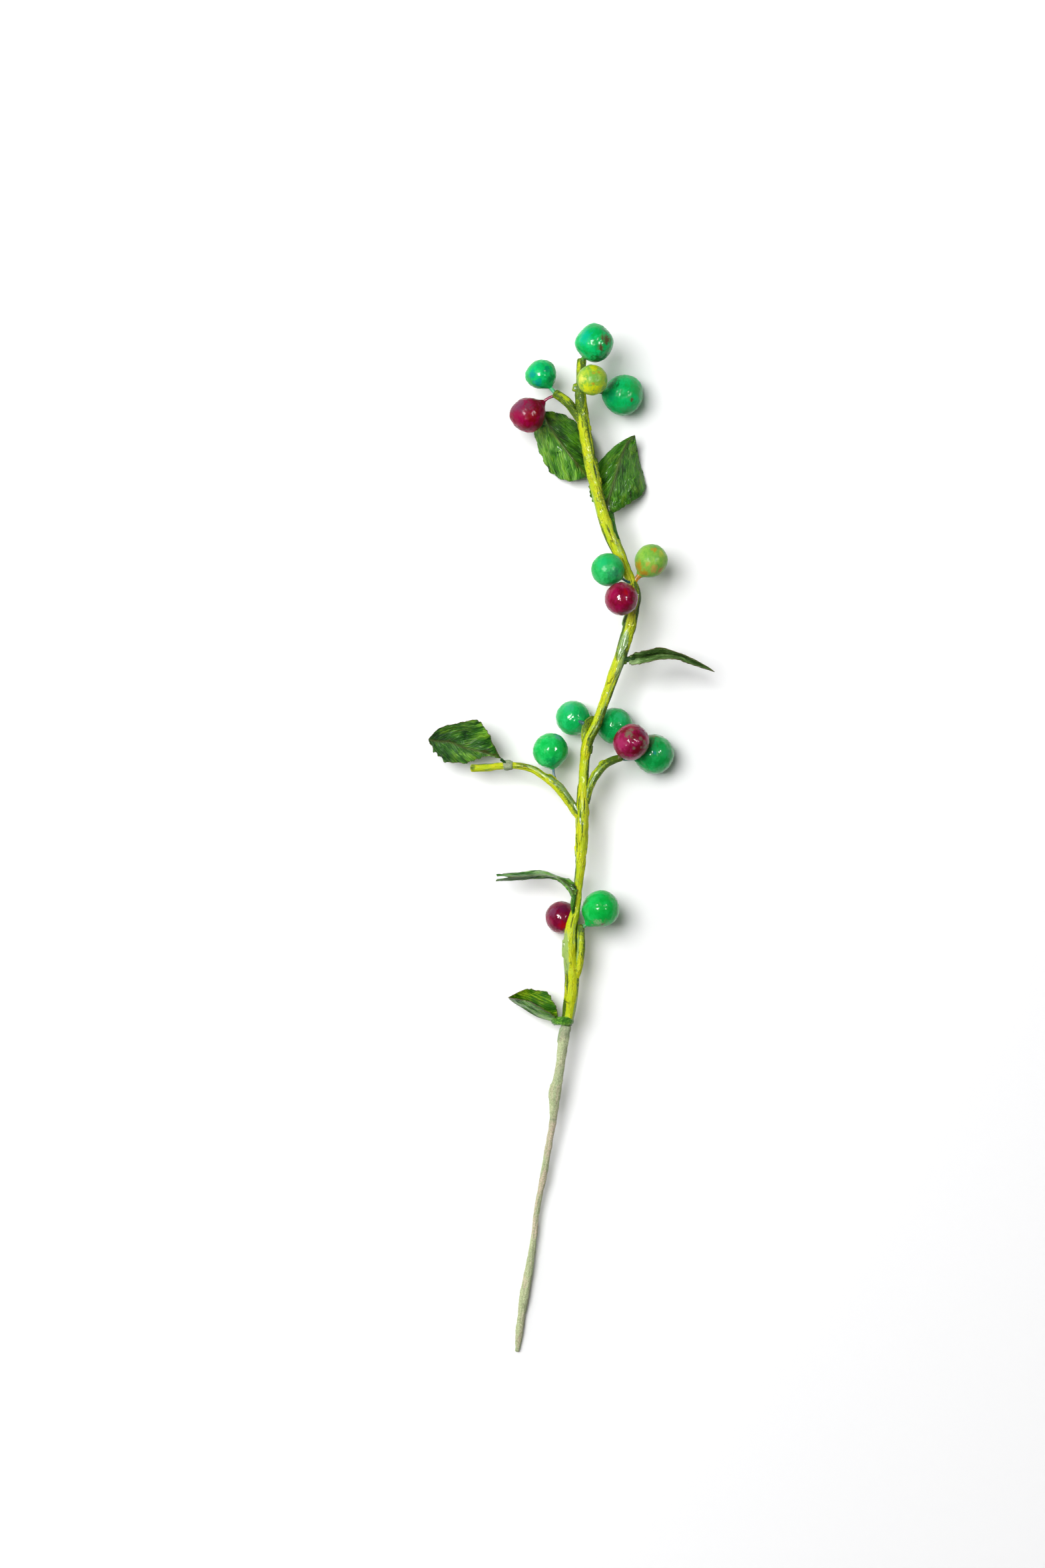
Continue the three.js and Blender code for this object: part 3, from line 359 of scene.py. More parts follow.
LEAVES = [
    # Leaf 1's halves are lit and shaded copies of one crepe: painted sheen on the left, painted shade
    # on the right.
    dict(halves=("painted_sheen", "dark"), ribbing=(33, 24),
         rib=[(5.3, 121.6, 8.8), (2.5, 125.1, 8.8), (-0.8, 129.1, 8.4), (-4.1, 133.6, 7.6),
              (-7.2, 138.6, 6.4), (-9.2, 143.3, 5)],
         left=[(4, 120.6, 7.2), (-1, 120.2, 4), (-6.8, 123.9, 0.9), (-10.2, 130.2, 0.6),
               (-12.1, 137.1, 0.8), (-11.2, 142.3, 2.8)],
         right=[(6, 122.9, 8), (7.6, 127.3, 6.4), (7.2, 132.1, 5), (4.2, 137.7, 4.3),
                (-1.6, 141.9, 4.3), (-7.4, 143.8, 4.6)],
         washes=[(-8.5, 130, 3.2, 0.07), (-4.5, 123, 3.5, -0.05), (4, 127, 3, -0.12),
                 (-3, 140, 3, 0.06), (2.5, 134.5, 2.5, 0.08)],
         stalk=[(5.7, 121, 9.2, 0.6), (6.8, 119.3, 10.8, 0.6), (7.6, 117.2, 13.4, 0.7)]),
    dict(halves=("plain", "plain"), ribbing=(32, 22), rib_width=0.8,
         rib=[(13, 108.7, 9.6), (12.2, 111.9, 10), (13.5, 117.2, 10.2), (15.1, 122.8, 9.8),
              (16.7, 128.1, 8.8), (18.7, 132.7, 7.4), (21.2, 135.2, 6)],
         left=[(12.1, 109.6, 8.6), (9.2, 111.5, 6.8), (6.8, 114.7, 5.6), (6.3, 118.7, 4.8),
               (7.9, 123.7, 4.2), (11.5, 128.8, 4.2), (17.3, 134, 5.2)],
         right=[(14.1, 108.9, 9), (17.8, 111.4, 7), (21.9, 114.3, 4.6), (24.6, 117.2, 2.4),
                (24.4, 121.7, 0.9), (23.1, 126.2, 1.2), (22, 132.7, 4)],
         washes=[(10.5, 117, 3, 0.05), (20.5, 127, 3.5, 0.07), (18, 113, 3, 0.06), (12, 125, 3, -0.05),
                 (22, 120, 2.5, 0.05)],
         stalk=[(13, 108.9, 10.6, 1.1), (13, 106.6, 12.4, 1.5), (13.6, 103.2, 13.6, 1.55),
                (14.9, 99.8, 13.9, 1.3), (16.4, 96.4, 13.8, 0.9)]),
    dict(halves=("shade", "shade"), ribbing=(9, 7), stalk_wash=-0.14,
         rib=[(18.2, 60.6, 13.2), (21, 60.9, 12.6), (25.6, 61.8, 11.8), (31, 62.5, 11),
              (35.6, 61.9, 10.6), (41.4, 59.7, 10.4), (47.5, 56.5, 10.6)],
         left=[(18.2, 61.1, 14), (20.6, 62.4, 16.6), (25.2, 63.4, 18.2), (29.1, 64.3, 18.6),
               (34, 63, 17.6), (39.1, 61.1, 15.6), (46.3, 57.7, 11.9)],
         right=[(18.4, 60.2, 14), (19.8, 58.7, 16.8), (23.6, 59.1, 18.4), (28.7, 60.3, 18.8),
                (34.6, 60.4, 18), (39.1, 58.9, 16), (46.1, 56.9, 11.9)],
         washes=[(21.2, 58.9, 1.3, 0.3), (26, 62, 3, -0.06)],
         stalk=[(16.3, 60.1, 13.6, 1.1), (17.6, 60.3, 13.8, 1.1), (19, 60.5, 13.9, 0.9),
                (20.6, 60.8, 14, 0.5)]),
    dict(halves=("matt", "matt"), ribbing=(36, 38), pleats=0.62, stalk_wash=-0.1,
         rib=[(-23.2, 27.7, 11), (-26.7, 29.1, 10.6), (-32.2, 30.6, 10), (-36.4, 31.7, 9.6),
              (-39.9, 33.2, 9.3), (-43.9, 33.5, 9.1), (-47.3, 34.1, 9)],
         left=[(-23.8, 28.8, 11.4), (-26.3, 33.7, 12.2), (-28.1, 37.7, 12.4), (-30.9, 40.4, 12.2),
               (-36.8, 39.8, 11.6), (-42.8, 38.2, 10.6), (-46.8, 35.5, 9.6)],
         right=[(-24.1, 27.8, 10.6), (-27.5, 28.5, 10.4), (-31.3, 27.5, 10.4), (-35.5, 26.2, 10.4),
                (-41.7, 27, 10), (-45.2, 29.9, 9.6), (-47.2, 33.1, 9.2)],
         washes=[(-28.5, 38.5, 3, 0.17), (-34, 27.5, 3, 0.16), (-44, 33, 4, -0.1),
                 (-27.5, 31.5, 3, -0.1), (-36, 33.5, 14, -0.09)],
         stalk=[(-20.9, 25.1, 10.9, 0.4), (-21.9, 26.5, 11.4, 0.4), (-22.9, 27.4, 11.1, 0.4)]),
    dict(halves=("streaked", "painted_sheen"), ribbing=(16, 14), fork=0.45, pleats=0.8,
         rib=[(0.9, -18.3, 14.5), (0.2, -15.9, 15.1), (-1.6, -13.6, 15.2), (-4.6, -11.7, 14.9),
              (-9.9, -10.7, 14), (-16.3, -11.2, 13), (-24.2, -11.7, 12)],
         left=[(1.5, -18.1, 14.3), (1.9, -15.4, 14.4), (0.4, -12.8, 13.6), (-4.2, -11.2, 12),
               (-10, -9.3, 8.2), (-16.7, -9.9, 7.8), (-24.8, -10.4, 10.4)],
         right=[(0.3, -18.5, 13.9), (-1.3, -15.6, 12.6), (-3.3, -13.4, 10.8), (-6.3, -12.1, 9),
                (-11.2, -12.1, 7.6), (-17.2, -12.5, 7.8), (-25, -12.9, 10.2)],
         washes=[(-11, -10.3, 2.6, 0.02), (-4, -11.6, 2, 0.1), (-0.6, -12.8, 1.2, 0.16),
                 (-0.5, -15.5, 2, -0.06), (-21, -12.6, 2.4, -0.08), (-16, -11, 3, -0.05)],
         stalk=[(0.9, -17.6, 14.7, 0.7), (0.5, -20.2, 14.3, 0.8), (0.6, -22.6, 13.5, 0.55),
                (0.9, -24.8, 12.8, 0.25)]),
    dict(halves=("lime", "painted_sheen"), ribbing=(14, 12), pleats=0.45, stalk_wash=0.17,
         rib=[(-4.9, -59.5, 8.6), (-7.4, -58.9, 7), (-10.6, -58, 5.7), (-13.4, -56.6, 4.9),
              (-16.5, -54.6, 5.2), (-18.9, -53.1, 6.6), (-20.6, -51.5, 8.6)],
         left=[(-4.1, -57.6, 9.6), (-4.5, -56, 8.6), (-5.3, -53.9, 7.7), (-7.5, -50.6, 7),
               (-11.4, -48.8, 7), (-15.6, -49, 7.6), (-19.6, -50.7, 8.4)],
         right=[(-3.6, -58.4, 11.6), (-5.9, -57, 12.4), (-9, -55.2, 12.8), (-12.1, -53.5, 12.6),
                (-14.7, -52.4, 12), (-17.4, -51.9, 11), (-20.2, -51.5, 9.4)],
         washes=[(-15.5, -50.4, 2.4, 0.1), (-10.5, -49.8, 2, 0.1), (-6.6, -55, 2.6, -0.2),
                 (-12, -53.6, 1.8, -0.14), (-8, -57.3, 1.8, 0.14), (-5, -57, 1, 0.14),
                 (-18.6, -51.8, 1.2, -0.14), (-9, -52.6, 1.5, -0.06)],
         stalk=[(-5.6, -59.4, 8.4, 0.9), (-4.4, -59.2, 10.4, 1.3), (-2.4, -59.1, 11.6, 1.45),
                (-1, -59.2, 11.5, 1.4), (-0.2, -59.3, 10.8, 1.1), (0.1, -59.4, 9.6, 0.8)]),
]

# Colours of the crepe's grooves, its body and its ridges, and how much varnish is on it.
# The groove colour is painted shade; the ridge colour is partly dye, partly painted highlight.
CREPES = {
    "plain": ((0.001, 0.018, 0.000), (0.026, 0.150, 0.001), (0.11, 0.37, 0.008), 0.35),
    # dark is a shaded copy of the crepe: painted shade on leaf 1's right half and its stalk.
    "dark": ((0.001, 0.012, 0.000), (0.015, 0.085, 0.000), (0.07, 0.24, 0.001), 0.15),
    # silver has paler ridges and more varnish: painted sheen on the crepe.
    "painted_sheen": ((0.002, 0.024, 0.001), (0.036, 0.170, 0.006), (0.22, 0.50, 0.05), 0.60),
    "streaked": ((0.003, 0.030, 0.001), (0.033, 0.165, 0.010), (0.22, 0.52, 0.05), 0.80),
    "shade": ((0.014, 0.055, 0.008), (0.115, 0.245, 0.048), (0.36, 0.54, 0.22), 0.60),
    "matt": ((0.002, 0.028, 0.001), (0.024, 0.125, 0.006), (0.17, 0.42, 0.03), 0.06),
    "lime": ((0.008, 0.060, 0.000), (0.035, 0.175, 0.000), (0.32, 0.52, 0.01), 0.30),
}
CREPE_EDGE = (0.13, 0.095, 0.045)


# ------------------------------------------------------------------ settings


def length_setting(name, description, millimetres):
    """A property that holds a length."""
    return FloatProperty(
        name=name, description=description, default=millimetres * MM, unit="LENGTH")


def colour_setting(name, description, colour):
    """A property that holds a colour."""
    return FloatVectorProperty(
        name=name, description=description, default=colour, subtype="COLOR", size=3, min=0, max=1)


class SprigWrapSettings(PropertyGroup):
    """Sizes and colours of the paper wrapping on the wood."""

    lap: length_setting("Lap", "Height of a tape edge over the turn below", 0.13)
    crease: length_setting("Crease", "Height of the creases that run along the wrapping", 0.055)
    yellow: colour_setting("Yellow", "Brightest paint of the stem", (0.56, 0.59, 0.0))
    lime: colour_setting("Lime", "Body paint of the stem", (0.43, 0.54, 0.0))
    olive: colour_setting("Olive", "Duller dabs on the stem", (0.19, 0.30, 0.004))
    moss: colour_setting("Moss", "Dark green strokes on the stem", (0.050, 0.115, 0.003))
    # Sage is partly grey-green paint and partly painted sheen of the varnish.
    sage: colour_setting("Sage", "Grey-green wash on the stem", (0.24, 0.40, 0.14))
    tape: colour_setting("Tape", "Pale floral tape", (0.46, 0.52, 0.28))


class SprigBerrySettings(PropertyGroup):
    """Shape and lacquer of the berries."""

    lump: length_setting("Lump", "Height of the lumps in the paint", 0.028)
    dent: length_setting("Dent", "Depth of the small dents that break up the highlights", 0.028)
    gloss: FloatProperty(
        name="Gloss", description="Roughness of the lacquer; 0 is a mirror", subtype="FACTOR",
        default=0.10, min=0, max=1)


class SprigLeafSettings(PropertyGroup):
    """Sizes of the crepe paper."""

    thickness: length_setting("Thickness", "Thickness of one crepe half", 0.24)
    pleat_spacing: length_setting("Pleat spacing", "Usual distance between two pleats", 0.90)
    pleat_height: length_setting("Pleat height", "Height of a pleat", 0.045)
    crown: length_setting("Crown", "How far a half bulges between the rib and its margin", 0.7)
    ragged: length_setting("Ragged", "How far the cut margin wanders", 0.22)


class SprigStageSettings(PropertyGroup):
    """Surface, light and camera."""

    floor: colour_setting("Floor", "Colour of the surface", (0.92, 0.92, 0.925))
    ambient: FloatProperty(
        name="Ambient", description="Strength of the light from all sides", default=0.20, min=0)
    overhead: FloatProperty(
        name="Overhead", description="Strength of the light from straight above",
        default=0.09, min=0)
    key: FloatProperty(
        name="Key", description="Power of the broad soft light", subtype="POWER",
        default=40.0, min=0)
    side: FloatProperty(
        name="Side", description="Power of the low soft light at the left", subtype="POWER",
        default=8.0, min=0)
    gleam: FloatProperty(
        name="Gleam", description="Brightness of the lights that only show in the varnish",
        default=75.0, min=0)
    lens: FloatProperty(
        name="Lens", description="Focal length", subtype="DISTANCE_CAMERA", default=85.0)
    eye: FloatVectorProperty(
        name="Eye", description="Place of the camera", subtype="XYZ", unit="LENGTH", size=3,
        default=(-16.06 * MM, 19.36 * MM, 1236.8 * MM))


# ------------------------------------------------------------------ curves and fields


def spline(points, t):
    """Points of a centripetal Catmull-Rom curve at parameters t from 0 to 1.

    Each span is the cubic that leaves and reaches its two points with the slopes given by
    their neighbours, weighted by the square roots of the distances between the points.
    """
    points = np.asarray(points, float)
    knots = np.vstack([2 * points[0] - points[1], points, 2 * points[-1] - points[-2]])
    place = np.clip(t, 0, 1) * (len(points) - 1)
    first = np.minimum(place.astype(int), len(points) - 2)
    share = (place - first)[:, None]
    p0, p1, p2, p3 = (knots[first + step] for step in range(4))
    d0, d1, d2 = (
        np.sqrt(np.linalg.norm((b - a)[:, :3], axis=1))[:, None]
        for a, b in ((p0, p1), (p1, p2), (p2, p3))
    )
    leave = ((p1 - p0) / d0 - (p2 - p0) / (d0 + d1) + (p2 - p1) / d1) * d1
    reach = ((p2 - p1) / d1 - (p3 - p1) / (d1 + d2) + (p3 - p2) / d2) * d1
    cubic = 2 * (p1 - p2) + leave + reach
    square = 3 * (p2 - p1) - 2 * leave - reach
    return ((cubic * share + square) * share + leave) * share + p1


MEASURES_PER_POINT = 60


def even_stations(points, step):
    """Parameters of a curve at even distances of about step, and those distances."""
    fine = np.linspace(0, 1, MEASURES_PER_POINT * len(points))
    track = spline(points, fine)[:, :3]
    walked = np.concatenate([[0], np.cumsum(np.linalg.norm(np.diff(track, axis=0), axis=1))])
    count = max(4, int(round(walked[-1] / step)))
    distance = np.linspace(0, walked[-1], count + 1)
    return np.interp(distance, walked, fine), distance


def ripple(coordinates, sizes, seed, waves=28):
    """A smooth random field of about -2 to 2 with features of the given size on each axis.

    It is a sum of sine waves whose directions, wavelengths and phases are random, divided
    by the square root of half their number.
    """
    rng = np.random.default_rng(seed)
    coordinates = np.stack([np.asarray(axis, float) / size
                            for axis, size in zip(coordinates, sizes)])
    total = np.zeros(coordinates.shape[1:])
    for _ in range(waves):
        way = rng.normal(size=len(sizes))
        way *= rng.uniform(0.6, 1.5) / np.linalg.norm(way)
        total += np.sin(TURN * (np.tensordot(way, coordinates, axes=1) + rng.uniform()))
    return total / math.sqrt(waves / 2)


def ripple_along(distance, size, seed, waves):
    """A ripple that varies only with one distance."""
    return ripple((distance, distance * 0), (size, size), seed, waves)


def smooth_step(low, high, values):
    """0 below low and 1 above high, with the cubic 3x^2 - 2x^3 between them."""
    share = np.clip((values - low) / (high - low), 0, 1)
    return share * share * (3 - 2 * share)


def unit(vectors):
    """The vectors divided by their lengths."""
    return vectors / np.maximum(np.linalg.norm(vectors, axis=-1, keepdims=True), 1e-12)


# ------------------------------------------------------------------ meshes


def fill_mesh(name, points, quads, triangles, attributes=None, face_materials=None):
    """A mesh object from arrays of points (millimetres), quads and triangles.

    A point that would dip into the surface under the sprig is lifted onto it.
    """
    points = np.column_stack([points[:, :2], np.maximum(points[:, 2], 0.0)])
    mesh = bpy.data.meshes.new(name)
    mesh.vertices.add(len(points))
    mesh.vertices.foreach_set("co", (points * MM).astype(np.float32).ravel())
    corners = np.concatenate([quads.ravel(), triangles.ravel()]).astype(np.int32)
    starts = np.concatenate([
        np.arange(len(quads)) * 4,
        len(quads) * 4 + np.arange(len(triangles)) * 3,
    ]).astype(np.int32)
    mesh.loops.add(len(corners))
    mesh.loops.foreach_set("vertex_index", corners)
    mesh.polygons.add(len(starts))
    mesh.polygons.foreach_set("loop_start", starts)
    for key, values in (attributes or {}).items():
        kind = "FLOAT" if values.ndim == 1 else "FLOAT_VECTOR"
        layer = mesh.attributes.new(key, kind, "POINT")
        field = "value" if values.ndim == 1 else "vector"
        layer.data.foreach_set(field, values.astype(np.float32).ravel())
    mesh.update(calc_edges=True)
    if face_materials is not None:
        mesh.polygons.foreach_set("material_index", face_materials.astype(np.int32))
    mesh.shade_smooth()
    if mesh.validate():
        raise RuntimeError(f"{name} has faulty faces")
    piece = bpy.data.objects.new(name, mesh)
    bpy.context.scene.collection.objects.link(piece)
    return piece


def tube_faces(rows, columns):
    """Quads of a grid that is closed round its columns, and the fans to its two poles.

    The grid's points come first, then the pole before row 0 and the pole after the last.
    """
    row, column = np.meshgrid(np.arange(rows - 1), np.arange(columns), indexing="ij")
    here = (row * columns + column).ravel()
    beside = (row * columns + (column + 1) % columns).ravel()
    quads = np.stack([here, beside, beside + columns, here + columns], axis=1)
    ring = np.arange(columns)
    after = (ring + 1) % columns
    first_pole = np.full(columns, rows * columns)
    last = (rows - 1) * columns
    triangles = np.concatenate([
        np.stack([first_pole, after, ring], axis=1),
        np.stack([first_pole + 1, last + ring, last + after], axis=1),
    ])
    return quads, triangles


def sheet_faces(rows, columns):
    """Quads of a thin closed sheet: upper grid, lower grid, and the rim that joins them.

    The upper grid's points come first and the lower grid's follow in the same order.
    """
    row, column = np.meshgrid(np.arange(rows - 1), np.arange(columns - 1), indexing="ij")
    here = (row * columns + column).ravel()
    upper = np.stack([here, here + 1, here + columns + 1, here + columns], axis=1)
    under = rows * columns
    lower = upper[:, ::-1] + under
    rim = np.concatenate([
        np.arange(columns - 1),
        np.arange(rows - 1) * columns + columns - 1,
        (rows - 1) * columns + np.arange(columns - 1, 0, -1),
        np.arange(rows - 1, 0, -1) * columns,
    ])
    after = np.roll(rim, -1)
    edge = np.stack([rim, rim + under, after + under, after], axis=1)
    return np.concatenate([upper, lower, edge])


def rod_grid(points, step, columns):
    """The bare surface of a rod: a circle of the route's radius carried along the route.

    Returns distance and angle on a grid, the centres, the radii, the outward vectors and
    the place of each grid point as if the rod were straight: across, across and along.
    Angle 0 is to the right of the way the route runs and a quarter turn is straight up.
    """
    t, distance = even_stations(points, step)
    track = spline(points, t)
    way = unit(np.gradient(track[:, :3], axis=0))
    side = unit(np.cross(way, (0.0, 0.0, 1.0)))
    up = np.cross(side, way)
    angle = np.arange(columns) * TURN / columns
    outward = (side[:, None] * np.cos(angle)[None, :, None]
               + up[:, None] * np.sin(angle)[None, :, None])
    along, around = np.meshgrid(distance, angle, indexing="ij")
    radius = track[:, None, 3]
    straight = (radius * np.cos(around), radius * np.sin(around), along)
    return along, around, track[:, None, :3], radius, outward, straight


def rounded_ends(along, radius, share=0.8):
    """How much of its radius a rod keeps near its two ends: a quarter circle of that share."""
    length = along[-1, 0]
    reach = np.maximum(radius * share, 1e-6)
    near = np.minimum(along, length - along) / reach
    return np.sqrt(np.clip(1 - (1 - np.clip(near, 0.02, 1)) ** 2, 0, 1))


def with_poles(grid):
    """A grid's values as one list, then the means of its first and of its last row."""
    listed = grid.reshape(-1, *grid.shape[2:])
    return np.concatenate([listed, [grid[0].mean(axis=0), grid[-1].mean(axis=0)]])


def close_rod(name, centres, outward, reach, attributes=None):
    """A closed rod: each grid point is its centre plus its reach along the outward vector."""
    quads, triangles = tube_faces(*reach.shape)
    points = with_poles(centres + outward * reach[..., None])
    tagged = {key: with_poles(values) for key, values in (attributes or {}).items()}
    return fill_mesh(name, points, quads, triangles, tagged)


# ------------------------------------------------------------------ finishes


def math_operator(operation, reflected=False):
    """A method that adds a Math node fed by a signal and by another signal or number."""
    def method(self, other):
        first, second = (other, self) if reflected else (self, other)
        return self.nodes.node("ShaderNodeMath", {"operation": operation}, {0: first, 1: second})
    return method


class Signal:
    """A socket of a node tree. Arithmetic on signals adds Math nodes to the tree."""

    __add__ = __radd__ = math_operator("ADD")
    __sub__ = math_operator("SUBTRACT")
    __rsub__ = math_operator("SUBTRACT", reflected=True)
    __mul__ = __rmul__ = math_operator("MULTIPLY")
    __truediv__ = math_operator("DIVIDE")
    at_most = math_operator("MINIMUM")

    def __init__(self, nodes, socket):
        self.nodes = nodes
        self.socket = socket

    def step(self, low, high):
        """0 below low and 1 above high, smooth between them; low may be above high."""
        return self.nodes.node(
            "ShaderNodeMapRange", {"interpolation_type": "SMOOTHSTEP"},
            {"Value": self, "From Min": low, "From Max": high})


class Nodes:
    """A node tree of a material or a world."""

    def __init__(self, tree):
        self.tree = tree

    def feed(self, socket, value):
        """Gives a socket a constant or a signal."""
        if isinstance(value, Signal):
            self.tree.links.new(value.socket, socket)
        elif isinstance(value, (tuple, list)) and socket.type == "RGBA":
            socket.default_value = (*value[:3], 1.0)
        else:
            socket.default_value = value

    def node(self, kind, settings, inputs, output=0):
        """Adds a node, sets it, feeds its sockets and returns one of its outputs."""
        made = self.tree.nodes.new(kind)
        for name, value in settings.items():
            setattr(made, name, value)
        for socket, value in inputs.items():
            self.feed(made.inputs[socket], value)
        return Signal(self, made.outputs[output])


class Finish(Nodes):
    """A node material of one Principled shader."""

    def __init__(self, name, **constants):
        self.material = bpy.data.materials.new(name)
        self.material.use_nodes = True
        super().__init__(self.material.node_tree)
        self.shader = self.tree.nodes["Principled BSDF"]
        for socket, value in constants.items():
            self.set(socket.replace("_", " "), value)

    def set(self, socket, value):
        """Gives one of the shader's sockets a constant or a signal."""
        self.feed(self.shader.inputs[socket], value)

    def place(self):
        """Object coordinates in millimetres."""
        metres = self.node("ShaderNodeTexCoord", {}, {}, "Object")
        return self.vector("SCALE", metres, Scale=1 / MM)

    def tag(self, name, output="Fac"):
        """What the mesh stores at its points under a name: a value, or a Vector."""
        return self.node("ShaderNodeAttribute", {"attribute_name": name}, {}, output)

    def vector(self, operation, first, second=None, output=0, **others):
        """A Vector Math node."""
        inputs = {0: first, **others}
        if second is not None:
            inputs[1] = second
        return self.node("ShaderNodeVectorMath", {"operation": operation}, inputs, output)

    def noise(self, where, scale, detail, distortion=0.0):
        """Noise of about 0.25 to 0.75, with scale features to the millimetre."""
        return self.node("ShaderNodeTexNoise", {}, {
            "Vector": where, "Scale": scale, "Detail": detail, "Distortion": distortion})

    def streaks(self, where, stretch, scale, detail, distortion=0.0):
        """Noise that is drawn out along each axis whose stretch is below 1."""
        return self.noise(self.vector("MULTIPLY", where, stretch), scale, detail, distortion)

    def mix(self, mask, first, second):
        """The first colour where mask is 0 and the second where it is 1."""
        inputs = {0: mask, 6: first, 7: second}
        return self.node("ShaderNodeMix", {"data_type": "RGBA"}, inputs, 2)

    def layers(self, colour, *coats):
        """A colour under coats; each is a mask and the colour that shows where it is 1."""
        for mask, coat in coats:
            colour = self.mix(mask, colour, coat)
        return colour

    def bump(self, height, distance, strength):
        """Turns a height of 0 to 1 into the shader's normal; distance is in millimetres."""
        inputs = {"Height": height, "Distance": distance * MM, "Strength": strength}
        self.set("Normal", self.node("ShaderNodeBump", {}, inputs, "Normal"))


def darker(colour, share):
    """A colour times a share."""
    return tuple(share * part for part in colour)


def dress(piece, finishes, node):
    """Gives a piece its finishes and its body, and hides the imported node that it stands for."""
    for finish in finishes:
        piece.data.materials.append(finish.material)
    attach(piece, "root")
    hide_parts(node)


def paint_finish(name, tones, share_of_yellow, share_of_sage):
    """Varnished paint over tape: a yellow and lime ground under olive and moss strokes.

    The strokes' strength comes from the mesh and a fine streaky grain breaks their edges,
    so that each fades from moss through olive to the ground. A grey-green sage lies on
    top, partly paint and partly painted sheen, and a few thin dark lines follow the
    borders of long irregular cells.
    """
    lime, yellow, olive, sage, moss = tones
    finish = Finish(name, IOR=1.5, Specular_IOR_Level=0.12, Coat_IOR=1.36, Coat_Roughness=0.16)
    wrap = finish.tag("wrap", "Vector")
    streaks = finish.streaks(wrap, (1.0, 1.0, 0.22), 0.95, 5.0, 0.4)
    washes = finish.streaks(wrap, (1.0, 1.0, 0.35), 0.36, 4.0, 0.4)
    other = finish.noise(finish.vector("ADD", wrap, (31.0, 7.0, 0.0)), 0.55, 5.0, 0.8)
    grain = finish.streaks(wrap, (1.0, 1.0, 0.55), 3.0, 4.0, 0.3)
    bright = (streaks * 0.55 + washes * 0.45).step(
        0.52 - 0.16 * share_of_yellow, 0.66 - 0.16 * share_of_yellow)
    shade = finish.tag("moss") + (streaks - 0.47) * 1.3 + (other - 0.5) * 0.7
    shade = shade + (grain - 0.5) * 1.6
    # pale: the sage strokes and noise, partly paint and partly painted sheen.
    pale = finish.tag("sage") + (other - 0.62 + 0.2 * share_of_sage) + (grain - 0.5) * 1.1
    long_cells = finish.vector("MULTIPLY", wrap, (1.0, 1.0, 0.14))
    bend = finish.node("ShaderNodeTexNoise", {}, {"Vector": wrap, "Scale": 0.9}, "Color")
    cells = finish.vector("ADD", long_cells, finish.vector("SCALE", bend, Scale=0.35))
    border = finish.node("ShaderNodeTexVoronoi", {"feature": "DISTANCE_TO_EDGE"},
                         {"Vector": cells, "Scale": 0.55}, "Distance")
    line = border.step(0.040, 0.012) * washes.step(0.50, 0.58)
    # The dark lines are cracks, tape edges and cell borders, plus painted shade in the slits.
    dark = (finish.tag("crack") + line * 0.7).at_most(1.0)
    finish.set("Base Color", finish.layers(
        lime,
        (bright, yellow),
        (shade.step(0.21, 0.50) * 0.80, olive),
        (shade.step(0.48, 0.86) * 0.95, moss),
        (pale.step(0.20, 0.80) * 0.70, sage),
        (dark * 0.85, darker(moss, 0.35))))
    finish.set("Roughness", 0.28 + grain * 0.24)
    varnish = (finish.tag("sage") * 0.8 + other.step(0.56, 0.66)).at_most(1.0)
    finish.set("Coat Weight", varnish * 0.75)
    finish.bump(grain * 0.75 + streaks * 0.25 - line * 0.5, 0.50, 0.9)
    return finish


def tape_finish(name, settings):
    """Matt crepe tape: pale green with pinkish and darker blotches and fine fibres."""
    finish = Finish(name, IOR=1.4)
    wrap = finish.tag("wrap", "Vector")
    blotch = finish.streaks(wrap, (1.0, 1.0, 0.35), 0.45, 4.0)
    flecks = finish.noise(wrap, 1.9, 5.0, 0.8)
    fibres = finish.streaks(wrap, (1.0, 1.0, 0.6), 3.8, 4.0, 0.5)
    streaks = finish.streaks(wrap, (1.0, 1.0, 0.20), 1.4, 5.0, 0.4)
    pinkish = blotch.step(0.50, 0.62) * 0.55 + finish.tag("sage") * 0.8
    finish.set("Base Color", finish.layers(
        tuple(settings.tape),
        (pinkish.at_most(0.9), (0.58, 0.46, 0.34)),
        (flecks.step(0.50, 0.62) * 0.70, (0.25, 0.33, 0.14)),
        (streaks.step(0.54, 0.66) * 0.25, (0.27, 0.27, 0.15)),
        (flecks.step(0.42, 0.30) * 0.60, (0.70, 0.70, 0.47)),
        (fibres.step(0.52, 0.60) * 0.55, (0.24, 0.24, 0.14)),
        (finish.tag("moss") * 0.7, (0.14, 0.22, 0.11)),
        (finish.tag("crack") * 0.6, (0.20, 0.24, 0.13))))
    finish.set("Roughness", 0.62 + fibres * 0.3)
    finish.bump(fibres, 0.12, 0.9)
    return finish


def on_top(right, up):
    """A direction from a berry's centre: right and up of the middle of its upper side."""
    return np.array((right, up, math.sqrt(max(0.0, 1 - right * right - up * up))))


